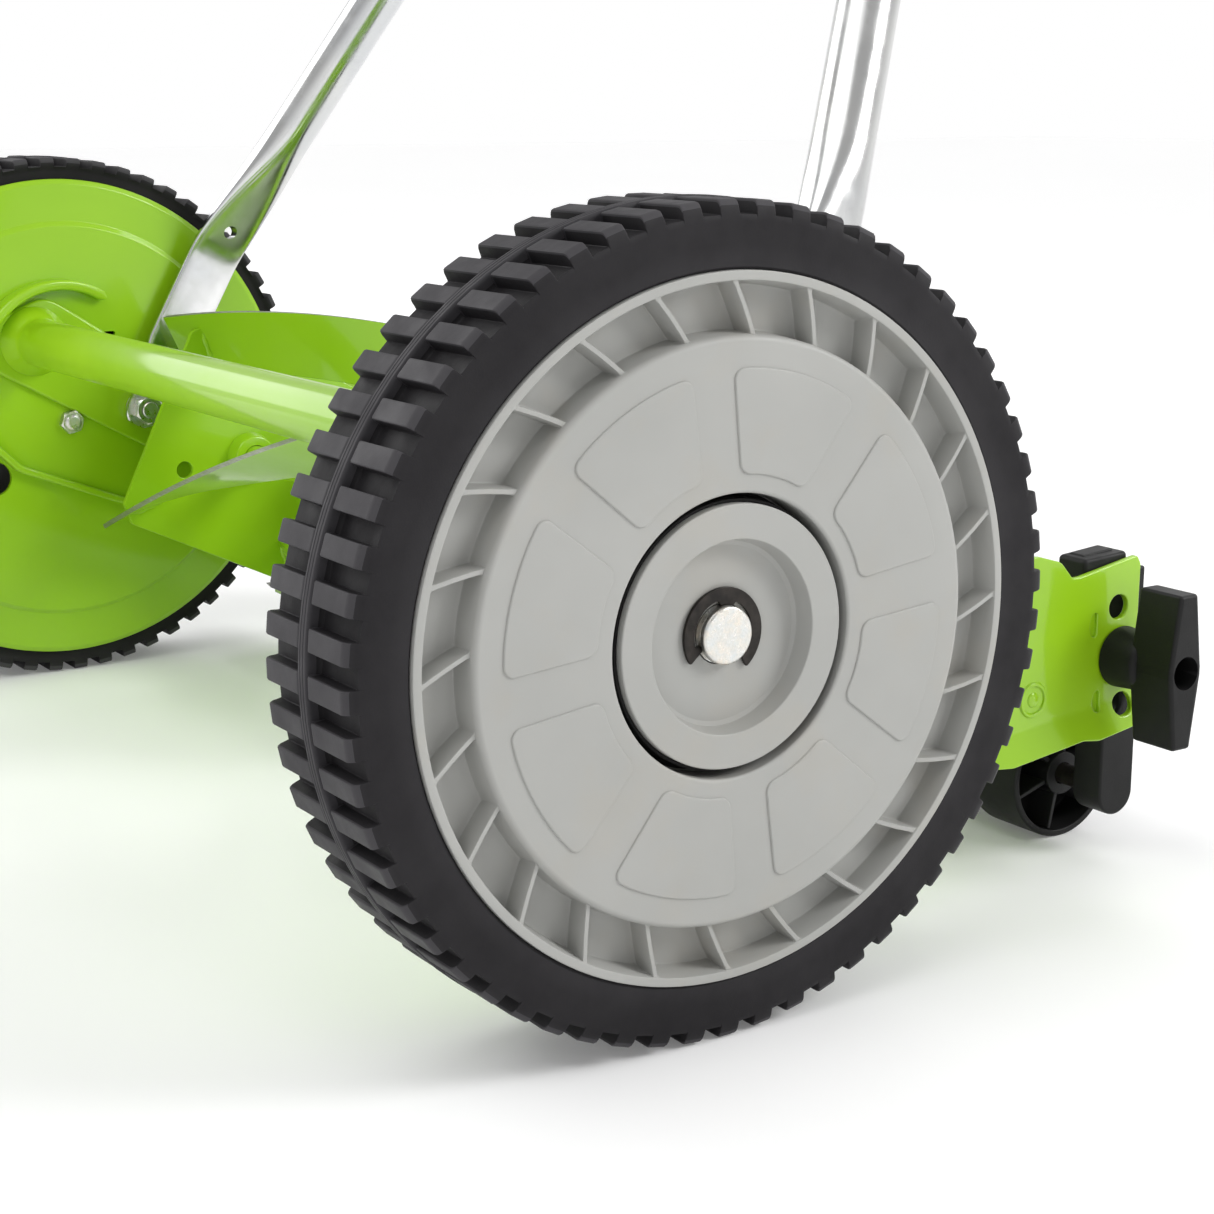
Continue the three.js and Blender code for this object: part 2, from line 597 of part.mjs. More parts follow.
function clampKnob() {
  const half = KNOB_LENGTH / 2;
  const barX = KNOB_FACE_X - KNOB_BAR_DEPTH;
  const side = [
    [KNOB_HALF_END, half], [KNOB_HALF_END + 1.6, half - 4], [KNOB_HALF_MIDDLE, 12],
    [KNOB_HALF_MIDDLE, -12], [KNOB_HALF_END + 1.6, 4 - half], [KNOB_HALF_END, -half],
  ];
  const outline = [
    ...side.map(([y, z]) => [CLAMP_Y + y, CLAMP_Z + z]).reverse(),
    ...side.map(([y, z]) => [CLAMP_Y - y, CLAMP_Z + z]),
  ];
  const seatX = BRACKET_OUTER_X + GAP;
  const boss = turned([
    [seatX, 0], [seatX, KNOB_BOSS_R], [barX - 2, KNOB_BOSS_R - 0.6], [barX + 4, KNOB_HALF_MIDDLE - 0.6],
    [barX + 4, 0],
  ], 20, CLAMP_Y, CLAMP_Z);
  return cut(
    join(plate(outline, barX, KNOB_FACE_X), boss),
    rod(CLAMP_HOLE_R, seatX - 1, KNOB_FACE_X - 8, CLAMP_Y, CLAMP_Z),
    rod(KNOB_RECESS_R, KNOB_FACE_X - 12, KNOB_FACE_X + 1, CLAMP_Y, CLAMP_Z, 16),
  );
}

// ---- Handle ----------------------------------------------------------------------------------

const ALONG = new THREE.Vector3(0, cos(HANDLE_ANGLE), sin(HANDLE_ANGLE));
const ACROSS = new THREE.Vector3(0, -sin(HANDLE_ANGLE), cos(HANDLE_ANGLE));
const handlePoint = (x, reach) =>
  new THREE.Vector3(x, HANDLE_Y, HANDLE_Z).addScaledVector(ALONG, reach);

// Stations along [x, reach, halfWidth, halfThick] points that lie in the handle's plane.
function handleTube(path) {
  const points = path.map(([x, reach]) => handlePoint(x, reach));
  return lofted(points.map((centre, i) => {
    const before = points[Math.max(i - 1, 0)];
    const after = points[Math.min(i + 1, points.length - 1)];
    const tangent = after.clone().sub(before).normalize();
    const up = new THREE.Vector3().crossVectors(ACROSS, tangent);
    return { centre, across: ACROSS, up, halfAcross: path[i][2], halfUp: path[i][3] };
  }));
}

const LOWER_TOP_REACH = BEND_REACH + (STRIP_X - LOWER_TOP_X) / tan(HANDLE_LEAN);

function lowerTube() {
  const leanX = (reach) => STRIP_X - (reach - BEND_REACH) * tan(HANDLE_LEAN);
  const flat = [STRIP_HALF_WIDTH, STRIP_HALF_THICK];
  const path = [
    [STRIP_X, -9, 5, STRIP_HALF_THICK], [STRIP_X, -4, 8.2, STRIP_HALF_THICK],
    [STRIP_X, 8, 8.6, STRIP_HALF_THICK], [STRIP_X, 34, ...flat], [STRIP_X, BEND_REACH - 6, ...flat],
    [leanX(BEND_REACH + 6), BEND_REACH + 6, 12.8, 2.6],
    [leanX(BEND_REACH + 35), BEND_REACH + 35, 12, 7.4],
    [leanX(BEND_REACH + 70), BEND_REACH + 70, TUBE_R, TUBE_R],
    [leanX(LOWER_TOP_REACH - 12), LOWER_TOP_REACH - 12, TUBE_R, TUBE_R],
    [LOWER_TOP_X, LOWER_TOP_REACH + 8, TUBE_R, TUBE_R],
    [LOWER_TOP_X, FOLD_REACH + OVERLAP_REACH, TUBE_R, TUBE_R],
  ];
  const bore = path.slice(7).map(([x, reach]) => [x, reach, TUBE_BORE_R, TUBE_BORE_R]);
  bore.at(-1)[1] += 1;
  const fold = handlePoint(0, FOLD_REACH);
  return cut(
    handleTube(path),
    handleTube(bore),
    rod(HANDLE_HOLE_R, STRIP_X - 10, STRIP_X + 10, HANDLE_Y, HANDLE_Z),
    rod(FOLD_HOLE_R, LOWER_TOP_X - 20, LOWER_TOP_X + 20, fold.y, fold.z),
  );
}

function upperTube() {
  const bend = Array.from({ length: 6 }, (_, i) => {
    const angle = PI / 2 * i / 5;
    const [x, reach] = [1 - cos(angle), 1 - sin(angle)];
    return [UPPER_X + GRIP_BEND_R * x, GRIP_REACH - GRIP_BEND_R * reach, TUBE_R, TUBE_R];
  });
  const path = [
    [UPPER_X, FOLD_REACH - OVERLAP_REACH, TUBE_R, TUBE_R], ...bend,
    [GRIP_END_X - 5, GRIP_REACH, TUBE_R, TUBE_R],
  ];
  const bore = path.map(([x, reach]) => [x, reach, TUBE_BORE_R, TUBE_BORE_R]);
  bore[0][1] -= 1;
  bore.at(-1)[0] -= 2;
  const fold = handlePoint(0, FOLD_REACH);
  const boltHole = rod(FOLD_HOLE_R, UPPER_X - 20, UPPER_X + 20, fold.y, fold.z);
  return cut(handleTube(path), handleTube(bore), boltHole);
}

function foamGrip() {
  const axis = handlePoint(0, GRIP_REACH);
  const end = GRIP_END_X + 4;
  const bore = TUBE_R + GAP + 0.1;
  return turned([
    [end, 0], [end, GRIP_R - 3], [end - 3, GRIP_R], [GRIP_START_X + 2, GRIP_R], [GRIP_START_X, GRIP_R - 2],
    [GRIP_START_X, bore], [GRIP_END_X, bore], [GRIP_END_X, 0],
  ], 16, axis.y, axis.z);
}

function handleBolt() {
  const stripInner = STRIP_X - STRIP_HALF_THICK;
  const spacerX = STRIP_X + STRIP_HALF_THICK + GAP;
  const headX = PLATE_OUTER_X + GAP;
  const [r, spacerR] = [HANDLE_BOLT_R, 8];
  return turned([
    [stripInner - 4.3, 0], [stripInner - 4.3, r], [spacerX, r], [spacerX, spacerR],
    [PLATE_INNER_X - GAP, spacerR], [PLATE_INNER_X - GAP, r], [headX, r], [headX, spacerR],
    [headX + 3.7, spacerR - 1], [headX + 3.7, 0],
  ], 12, HANDLE_Y, HANDLE_Z);
}

function handleNut() {
  const stripInner = STRIP_X - STRIP_HALF_THICK;
  const bore = circle(HANDLE_BOLT_R + GAP, HANDLE_Y, HANDLE_Z, 12);
  return plate(hexagon(7.5, HANDLE_Y, HANDLE_Z), stripInner - 3.8, stripInner - GAP, [bore]);
}

function foldBolt() {
  const fold = handlePoint(0, FOLD_REACH);
  const headX = -LOWER_TOP_X - TUBE_R - GAP;
  return turned([
    [headX - 5, 0], [headX - 5, 6], [headX, 8], [headX, FOLD_BOLT_R],
    [FOLD_BOLT_END_X, FOLD_BOLT_R], [FOLD_BOLT_END_X, 0],
  ], 16, fold.y, fold.z);
}

function foldKnob() {
  const fold = handlePoint(0, FOLD_REACH);
  const [seat, lobes] = [LOWER_TOP_X + TUBE_R + GAP, 6];
  const outline = Array.from({ length: lobes * 4 }, (_, i) => {
    const angle = 2 * PI * i / (lobes * 4);
    const r = 16 + 2 * cos(lobes * angle);
    return [fold.y + r * cos(angle), fold.z + r * sin(angle)];
  });
  const star = plate(outline, seat + 6, seat + 20);
  const collar = rod(9, seat, seat + 8, fold.y, fold.z, 16);
  return cut(join(star, collar), rod(4.3, seat - 1, seat + 16, fold.y, fold.z));
}

// ---- Assembly --------------------------------------------------------------------------------

const mower = new THREE.Group();

function add(name, geometry, look) {
  const mesh = new THREE.Mesh(cleaned(geometry), look());
  mesh.name = name;
  mower.add(mesh);
}

// Pieces made once for the left side and mirrored for the right.
const pairs = [
  ['tyre', tyre, blackRubber], ['wheel_rim', wheelRim, greyPlastic], ['hub_boss', hubBoss, greyPlastic],
  ['hub_seal', hubSeal, blackRubber], ['ring_gear', ringGear, gearPlastic], ['axle', axle, zincSteel],
  ['axle_clip', axleClip, darkSteel], ['axle_nut', axleNut, zincSteel], ['side_plate', sidePlate, greenCoat],
  ['height_bracket', heightBracket, greenCoat], ['pinion', pinion, darkSteel],
  ['pawl_key', pawlKey, darkSteel],
  ['reel_bearing', reelBearing, blackPlastic], ['bedknife_pivot', bedknifePivot, zincSteel],
  ['height_slider', heightSlider, blackPlastic], ['clamp_bolt', clampBolt, zincSteel],
  ['clamp_knob', clampKnob, blackPlastic], ['handle_bolt', handleBolt, zincSteel],
  ['handle_nut', handleNut, zincSteel], ['lower_tube', lowerTube, chromeTube],
  ['upper_tube', upperTube, chromeTube], ['foam_grip', foamGrip, foam],
];
for (const [name, make, look] of pairs) {
  const left = make();
  add(`${name}_left`, left, look);
  add(`${name}_right`, left.clone().scale(-1, 1, 1), look);
}

add('tie_tube', tieTube(), greenCoat);
add('reel_shaft', reelShaft(), darkSteel);
add('spider_left', spider(SPIDER_X), greenCoat);
add('spider_middle', spider(0), greenCoat);
add('spider_right', spider(-SPIDER_X), greenCoat);
for (let i = 0; i < BLADE_COUNT; i += 1) add(`reel_blade_${i + 1}`, blade(i), greenCoat);
add('bedknife_carrier', bedknifeCarrier(), greenCoat);
add('bedknife', bedknife(), groundSteel);
add('rear_roller', roller(), blackPlastic);
add('roller_axle', rollerAxle(), darkSteel);
add('fold_bolt', foldBolt(), zincSteel);
add('fold_knob', foldKnob(), blackPlastic);

// Stand the mower on z = 0, with the middle of its depth at y = 0.
const rearReach = handlePoint(0, GRIP_REACH).y + GRIP_R;
mower.position.set(0, (TYRE_R - rearReach) / 2, TYRE_R);

export default mower;
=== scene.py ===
"""The looks of a push reel mower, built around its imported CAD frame.

Lengths are in millimetres and places are measured from the wheels' axle line: x from the centre
plane (+X is the operator's left), y towards the rear, z up. to_row() turns them into the frame's metres.
"""
import math

import bmesh
import bpy
from mathutils import Matrix, Vector
from mathutils.geometry import tessellate_polygon

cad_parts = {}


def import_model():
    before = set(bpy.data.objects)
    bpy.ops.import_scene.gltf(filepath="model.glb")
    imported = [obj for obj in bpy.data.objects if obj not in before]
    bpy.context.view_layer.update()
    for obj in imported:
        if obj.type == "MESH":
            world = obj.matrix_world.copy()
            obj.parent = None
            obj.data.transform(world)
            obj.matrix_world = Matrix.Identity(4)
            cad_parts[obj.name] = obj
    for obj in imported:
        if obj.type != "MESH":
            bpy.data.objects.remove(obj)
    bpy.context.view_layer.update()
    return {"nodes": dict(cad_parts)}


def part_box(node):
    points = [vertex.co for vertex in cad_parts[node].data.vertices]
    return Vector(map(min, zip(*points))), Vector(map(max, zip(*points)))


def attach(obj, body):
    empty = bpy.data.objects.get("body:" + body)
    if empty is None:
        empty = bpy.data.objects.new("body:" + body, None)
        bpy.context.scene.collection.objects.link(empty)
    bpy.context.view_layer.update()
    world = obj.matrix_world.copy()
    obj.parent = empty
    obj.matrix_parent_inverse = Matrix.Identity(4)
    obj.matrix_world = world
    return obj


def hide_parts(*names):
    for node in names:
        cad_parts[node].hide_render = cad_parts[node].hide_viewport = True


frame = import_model()

# ---- Places taken from the frame ----

MM = 0.001


def box_mm(node):
    low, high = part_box(node)
    return low / MM, high / MM


AXLE = sum(box_mm("axle_left"), Vector()) / 2


def place(node):
    """(y, z) of a node's middle, from the axle line."""
    low, high = box_mm(node)
    middle = (low + high) / 2
    return middle.y - AXLE.y, middle.z - AXLE.z


def reach(node):
    """The node's lowest and highest x."""
    low, high = box_mm(node)
    return low.x, high.x


def to_row(p):
    return Vector((p[0], p[1] + AXLE.y, p[2] + AXLE.z)) * MM


REEL = place("reel_shaft")
TIE = place("tie_tube")
ROLLER = place("rear_roller")
CLAMP = place("clamp_bolt_left")
PIVOT = place("bedknife_pivot_left")
HANDLE = place("handle_bolt_left")
FOLD = place("fold_bolt")
GRIP = place("foam_grip_left")
FACE = reach("wheel_rim_left")[1] - 0.8          # the rim lip's outer face
PLATE = reach("side_plate_left")[0]              # the side plate's face towards the reel
BRACKET, BRACKET_OUT = reach("height_bracket_left")
SLIDER_IN, SLIDER_OUT = reach("height_slider_left")
KNOB_FACE = reach("clamp_knob_left")[1]
RIM_BACK = reach("wheel_rim_left")[0]
CLIP_X = reach("axle_clip_left")

# ---- Mesh tools ----


def polar(r, degrees, y=0.0, z=0.0):
    angle = math.radians(degrees)
    return y + r * math.cos(angle), z + r * math.sin(angle)


def arc(r, start, end, count, y=0.0, z=0.0):
    return [polar(r, start + (end - start) * i / count, y, z) for i in range(count + 1)]


def circle(r, y=0.0, z=0.0, count=32):
    return arc(r, 0, 360, count, y, z)[:-1]


def rounded(points, radius, steps=4, closed=True):
    """A polyline with its corners turned into arcs. A point may carry its own radius as a third value."""
    made = []
    count = len(points)
    for i, point in enumerate(points):
        here = Vector(point[:2])
        r = point[2] if len(point) > 2 else radius
        if r <= 0 or (not closed and i in (0, count - 1)):
            made.append(tuple(here))
            continue
        before = Vector(points[i - 1][:2]) - here
        after = Vector(points[(i + 1) % count][:2]) - here
        half = before.angle(after) / 2
        if half > math.radians(89):
            made.append(tuple(here))
            continue
        run = min(r / math.tan(half), before.length * 0.49, after.length * 0.49)
        r = run * math.tan(half)
        bisector = (before.normalized() + after.normalized()).normalized()
        centre = here + bisector * (r / math.sin(half))
        start = here + before.normalized() * run - centre
        end = here + after.normalized() * run - centre
        sweep = start.angle_signed(end)
        for k in range(steps + 1):
            turn = Matrix.Rotation(-sweep * k / steps, 2)
            made.append(tuple(centre + turn @ start))
    return made


def cleaned(bm, tolerance=1e-4):
    bmesh.ops.remove_doubles(bm, verts=bm.verts, dist=tolerance)
    bmesh.ops.dissolve_degenerate(bm, edges=bm.edges, dist=tolerance / 2)
    bmesh.ops.recalc_face_normals(bm, faces=bm.faces)
    return bm


def skin(loops, wrap=False, caps=True):
    """Quads between closed loops of points, joined round to the first one or with filled ends."""
    bm = bmesh.new()
    rows = [[bm.verts.new(p) for p in loop] for loop in loops]
    following = rows[1:] + ([rows[0]] if wrap else [])
    for a, b in zip(rows, following):
        for i in range(len(a)):
            j = (i + 1) % len(a)
            bm.faces.new((a[i], a[j], b[j], b[i]))
    if caps and not wrap:
        bm.faces.new(rows[0])
        bm.faces.new(rows[-1])
    return cleaned(bm)


def turned(profile, centre=(0.0, 0.0), count=96):
    """A body turned about a line along X, from a closed profile of (x, radius)."""
    loops = []
    for i in range(count):
        angle = 360 * i / count
        loops.append([(x, *polar(max(r, 0), angle, *centre)) for x, r in profile])
    return skin(loops, wrap=True)


def lathe(profile, centre=(0.0, 0.0), count=96, steps=4):
    """turned(), after rounding the corners whose points carry a radius."""
    return turned(rounded(profile, 0, steps), centre, count)


def pin(x0, x1, r, centre, count=28):
    """A plain cylinder, for cutting holes and for hidden shanks."""
    return turned([(x0, 0), (x0, r), (x1, r), (x1, 0)], centre, count)


def offset(outline, distance):
    """The outline moved inwards by a distance, for an anticlockwise one."""
    made = []
    for i, point in enumerate(outline):
        here = Vector(point)
        a = (here - Vector(outline[i - 1])).normalized()
        b = (Vector(outline[(i + 1) % len(outline)]) - here).normalized()
        normal = Vector((-a.y - b.y, a.x + b.x)).normalized()
        share = max(normal.dot(Vector((-a.y, a.x))), 0.3)
        made.append(tuple(here + normal * distance / share))
    return made


def anticlockwise(outline):
    area = sum(a[0] * b[1] - b[0] * a[1] for a, b in zip(outline, outline[1:] + outline[:1]))
    return list(outline) if area > 0 else list(reversed(outline))


def slab(outline, x0, x1, holes=(), edge=0.5, steps=2):
    """A flat piece between two values of x, its edges and its holes' edges rounded over."""
    outer = anticlockwise(outline)
    inner = [list(reversed(anticlockwise(hole))) for hole in holes]
    bm = bmesh.new()
    quarter = [math.pi / 2 * k / steps for k in range(steps + 1)]
    levels = [(x0 + edge * (1 - math.sin(a)), edge * (1 - math.cos(a))) for a in reversed(quarter)]
    levels += [(x1 - edge * (1 - math.sin(a)), edge * (1 - math.cos(a))) for a in quarter]
    rims = [[], []]
    for shape in [outer, *inner]:
        rows = [[bm.verts.new((x, *p)) for p in offset(shape, inset)] for x, inset in levels]
        for a, b in zip(rows, rows[1:]):
            for i in range(len(shape)):
                j = (i + 1) % len(shape)
                bm.faces.new((a[i], a[j], b[j], b[i]))
        rims[0].append(rows[0])
        rims[1].append(rows[-1])
    for rim in rims:
        flat = [[Vector((v.co.y, v.co.z, 0)) for v in row] for row in rim]
        verts = [v for row in rim for v in row]
        for triangle in tessellate_polygon(flat):
            if len(set(triangle)) == 3:
                bm.faces.new([verts[i] for i in triangle])
    return cleaned(bm)


def lofted(stations, count=40):
    """A closed tube through (centre, across, up, half_across, half_up, squareness) stations."""
    loops = []
    for centre, across, up, wide, high, square in stations:
        loop = []
        for i in range(count):
            angle = 2 * math.pi * i / count
            c, s = math.cos(angle), math.sin(angle)
            u = math.copysign(abs(c) ** (2 / square), c) * wide
            v = math.copysign(abs(s) ** (2 / square), s) * high
            loop.append(centre + across * u + up * v)
        loops.append(loop)
    return skin(loops)


def together(*parts):
    """One mesh from several; the parts are used up."""
    whole = bmesh.new()
    for part in parts:
        mesh = bpy.data.meshes.new("part")
        part.to_mesh(mesh)
        part.free()
        whole.from_mesh(mesh)
        bpy.data.meshes.remove(mesh)
    return whole


def linked(name, data):
    made = bpy.data.objects.new(name, data)
    bpy.context.scene.collection.objects.link(made)
    return made


def to_object(name, bm):
    mesh = bpy.data.meshes.new(name)
    bm.to_mesh(mesh)
    bm.free()
    return linked(name, mesh)


def carved(body, *tools, operation="DIFFERENCE"):
    """body with each tool cut out of it or joined to it."""
    target = to_object("carving", body)
    cutters = [to_object("cutter", tool) for tool in tools]
    for cutter in cutters:
        modifier = target.modifiers.new("cut", "BOOLEAN")
        modifier.operation = operation
        modifier.solver = "EXACT"
        modifier.object = cutter
    bpy.context.view_layer.update()
    result = target.evaluated_get(bpy.context.evaluated_depsgraph_get())
    bm = bmesh.new()
    bm.from_mesh(result.to_mesh())
    result.to_mesh_clear()
    for used in [target, *cutters]:
        mesh = used.data
        bpy.data.objects.remove(used)
        bpy.data.meshes.remove(mesh)
    return cleaned(bm)


def bent(bm, start, direction, angle, radius):
    """Bends a slab's part beyond a line in its plane outwards (+X), through angle degrees."""
    way = Vector((0, *direction)).normalized()
    origin = Vector((0, *start))
    turn = math.radians(angle)
    run = radius * turn
    cuts = 4
    for k in range(cuts + 1):
        everything = bm.verts[:] + bm.edges[:] + bm.faces[:]
        at = origin + way * (run * k / cuts)
        bmesh.ops.bisect_plane(bm, geom=everything, plane_co=at, plane_no=way, dist=1e-5)
    for vert in bm.verts:
        beyond = (vert.co - origin).dot(way)
        if beyond <= 0:
            continue
        curved = min(beyond / run, 1) * turn
        straight = max(beyond - run, 0)
        forward = radius * math.sin(curved) + straight * math.cos(curved)
        vert.co += way * (forward - beyond)
        vert.co.x += radius * (1 - math.cos(curved)) + straight * math.sin(curved)
    return bm


def finished(name, bm, body, looks, smooth=32, replaced=True):
    """Puts a mesh in the row frame, on its body, with its looks, in place of the CAD node of its name."""
    for vert in bm.verts:
        vert.co = to_row(vert.co)
    bmesh.ops.recalc_face_normals(bm, faces=bm.faces)
    made = to_object(name, bm)
    looks = looks if isinstance(looks, list) else [looks]
    for look in looks:
        made.data.materials.append(look)
    made.data.polygons.foreach_set("use_smooth", [True] * len(made.data.polygons))
    made.data.set_sharp_from_angle(angle=math.radians(smooth))
    weighted = made.modifiers.new("weighted_normals", "WEIGHTED_NORMAL")
    weighted.keep_sharp = True
    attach(made, body)
    if replaced:
        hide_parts(name)


def mirrored(bm):
    copy = bm.copy()
    for vert in copy.verts:
        vert.co.x = -vert.co.x
    bmesh.ops.reverse_faces(copy, faces=copy.faces)
    return copy


SIDES = ("left", "right")


def both_sides(name, bm, bodies, looks, smooth=32):
    """The left piece and its mirror image. bodies may hold {} for the side."""
    for side, mesh in zip(SIDES, (bm, mirrored(bm))):
        finished(f"{name}_{side}", mesh, bodies.format(side), looks, smooth)


# ---- Materials ----


class Surface:
    """A Principled material whose colour, roughness and relief come from noise in object space."""

    def __init__(self, name, stretch=(1, 1, 1), **sockets):
        self.material = bpy.data.materials.new(name)
        self.material.use_nodes = True
        self.tree = self.material.node_tree
        self.shader = self.tree.nodes["Principled BSDF"]
        for socket, value in sockets.items():
            self.shader.inputs[socket.replace("_", " ")].default_value = value
        coordinates = self.tree.nodes.new("ShaderNodeTexCoord")
        mapping = self.node("ShaderNodeMapping", Vector=coordinates.outputs["Object"], Scale=stretch)
        self.place = mapping.outputs["Vector"]
        self.normal = None

    def node(self, kind, settings=None, numbered=None, **inputs):
        made = self.tree.nodes.new(kind)
        for key, value in (settings or {}).items():
            setattr(made, key, value)
        for key, value in {**inputs, **(numbered or {})}.items():
            socket = made.inputs[key]
            if isinstance(value, bpy.types.NodeSocket):
                self.tree.links.new(value, socket)
            else:
                socket.default_value = value
        return made

    def remapped(self, value, low, high, to_low=0, to_high=1):
        """value with low to high stretched over to_low to to_high."""
        ends = {"From Min": low, "From Max": high, "To Min": to_low, "To Max": to_high}
        return self.node("ShaderNodeMapRange", None, ends, Value=value).outputs["Result"]

    def noise(self, scale, detail=3.0, rough=0.55, low=0.35, high=0.65):
        """Noise stretched so that low to high fills 0 to 1. scale is per metre."""
        sockets = {"Vector": self.place, "Scale": scale, "Detail": detail, "Roughness": rough}
        return self.remapped(self.node("ShaderNodeTexNoise", **sockets).outputs["Fac"], low, high)

    def cells(self, scale):
        return self.node("ShaderNodeTexVoronoi", Vector=self.place, Scale=scale).outputs["Distance"]

    def mixed(self, factor, a, b):
        made = self.node("ShaderNodeMix", {"data_type": "RGBA"})
        for index, value in ((0, factor), (6, a), (7, b)):
            if isinstance(value, bpy.types.NodeSocket):
                self.tree.links.new(value, made.inputs[index])
            else:
                made.inputs[index].default_value = value if index == 0 else (*value, 1)
        return made.outputs[2]

    def scaled(self, value, factor):
        return self.node("ShaderNodeMath", {"operation": "MULTIPLY"}, {0: value, 1: factor}).outputs[0]

    def relief(self, height, depth):
        """Adds relief of that depth in millimetres."""
        made = self.node("ShaderNodeBump", Height=height, Distance=depth * MM, Strength=1.0)
        if self.normal:
            self.tree.links.new(self.normal, made.inputs["Normal"])
        self.normal = made.outputs["Normal"]

    def grain(self, scale, depth, detail=3, rough=0.6):
        self.relief(self.noise(scale, detail, rough, 0.2, 0.8), depth)

    def done(self, colour, wear, low, high):
        """The material, its roughness going from low to high with wear."""
        roughness = self.remapped(wear, 0, 1, low, high)
        self.tree.links.new(colour, self.shader.inputs["Base Color"])
        self.tree.links.new(roughness, self.shader.inputs["Roughness"])
        if self.normal:
            self.tree.links.new(self.normal, self.shader.inputs["Normal"])
        return self.material

    def edges(self, start, end):
        """0 on flat stretches, 1 on sharp outer edges; the mask of the painted edge highlights."""
        geometry = self.tree.nodes.new("ShaderNodeNewGeometry")
        return self.remapped(geometry.outputs["Pointiness"], start, end)


def green_coat():
    s = Surface("green_powder_coat", Coat_Weight=0.65, Coat_Roughness=0.08, Specular_IOR_Level=0.25)
    colour = s.mixed(s.noise(9, 2), (0.262, 0.505, 0.005), (0.305, 0.560, 0.009))
    s.grain(300, 0.006, 2, 0.5)
    s.grain(1900, 0.002)
    return s.done(colour, s.noise(30, 4), 0.30, 0.42)


def grey_plastic():
    s = Surface("grey_moulded_plastic", Specular_IOR_Level=0.3)
    colour = s.mixed(s.noise(14, 3), (0.352, 0.353, 0.337), (0.382, 0.382, 0.365))
    stain = s.remapped(s.noise(26, 5, 0.65), 0.55, 1.15)
    colour = s.mixed(s.scaled(stain, 0.18), colour, (0.40, 0.35, 0.27))
    s.grain(1500, 0.008)
    return s.done(colour, s.noise(40, 4), 0.40, 0.54)


def tyre_rubber(name, low, high, edge_highlight):
    s = Surface(name, Specular_IOR_Level=0.16)
    colour = s.mixed(s.noise(22, 4), low, high)
    # Painted highlight: sharp outer edges are lightened towards the last colour.
    colour = s.mixed(s.scaled(s.edges(0.51, 0.57), 0.45), colour, edge_highlight)
    s.grain(1300, 0.022, 4, 0.65)
    s.grain(160, 0.04, 3, 0.5)
    return s.done(colour, s.noise(60, 5, 0.6), 0.50, 0.72)


def seal_rubber():
    s = Surface("seal_rubber", Specular_IOR_Level=0.12)
    # Near-black, standing in for the shade deep in the hub gap: painted shade.
    colour = s.mixed(s.noise(60, 3), (0.008, 0.008, 0.008), (0.016, 0.015, 0.015))
    s.grain(1500, 0.02)
    return s.done(colour, s.noise(90, 3), 0.6, 0.8)


def black_plastic():
    s = Surface("black_moulded_plastic", Specular_IOR_Level=0.2)
    colour = s.mixed(s.noise(30, 3), (0.0065, 0.0065, 0.0065), (0.0110, 0.0110, 0.0112))
    # Painted highlight: sharp outer edges are lightened towards a dark grey.
    colour = s.mixed(s.scaled(s.edges(0.51, 0.58), 0.5), colour, (0.030, 0.030, 0.031))
    s.relief(s.cells(1600), 0.02)
    s.grain(2600, 0.012, 2, 0.5)
    return s.done(colour, s.noise(50, 4), 0.40, 0.55)


def gear_plastic():
    s = Surface("gear_plastic", Specular_IOR_Level=0.5)
    colour = s.mixed(s.noise(40, 3), (0.025, 0.026, 0.028), (0.040, 0.041, 0.044))
    grease = s.remapped(s.noise(70, 4), 0.5, 0.9)
    s.grain(1400, 0.012)
    return s.done(colour, grease, 0.5, 0.22)


def zinc_steel():
    s = Surface("zinc_plated_steel", Metallic=1.0)
    tint = s.noise(260, 3, 0.6, 0.3, 0.7)
    colour = s.mixed(tint, (0.66, 0.69, 0.70), (0.76, 0.69, 0.60))
    colour = s.mixed(s.scaled(s.noise(1500, 2), 0.35), colour, (0.50, 0.53, 0.50))
    s.relief(s.cells(1200), 0.02)
    s.grain(3000, 0.01)
    return s.done(colour, s.noise(500, 3), 0.24, 0.46)


def chrome_tube():
    s = Surface("bright_plated_tube", Metallic=1.0)
    colour = s.mixed(s.noise(18, 3), (0.60, 0.61, 0.62), (0.68, 0.68, 0.67))
    colour = s.mixed(s.scaled(s.remapped(s.noise(500, 4), 0.85, 1.1), 0.3), colour, (0.52, 0.50, 0.47))
    s.grain(220, 0.006, 3, 0.5)
    return s.done(colour, s.noise(45, 5, 0.6), 0.13, 0.27)


def dark_steel():
    s = Surface("black_oxide_steel", Metallic=0.5, Specular_IOR_Level=0.3)
    colour = s.mixed(s.noise(200, 4), (0.016, 0.014, 0.013), (0.036, 0.031, 0.027))
    s.grain(1800, 0.012)
    return s.done(colour, s.noise(300, 3), 0.28, 0.50)


def ground_steel():
    s = Surface("ground_steel", (0.06, 1, 1), Metallic=0.9)
    scratches = s.noise(2600, 3, 0.7)
    colour = s.mixed(scratches, (0.30, 0.29, 0.27), (0.46, 0.45, 0.43))
    s.relief(scratches, 0.012)
    return s.done(colour, s.noise(400, 3), 0.34, 0.52)


def foam_rubber():
    s = Surface("foam_rubber", Specular_IOR_Level=0.2, Sheen_Weight=0.25, Sheen_Roughness=0.6)
    colour = s.mixed(s.cells(900), (0.010, 0.010, 0.010), (0.032, 0.031, 0.031))
    s.relief(s.cells(900), 0.12)
    s.grain(260, 0.08, 4, 0.6)
    return s.done(colour, s.noise(200, 3), 0.82, 0.97)


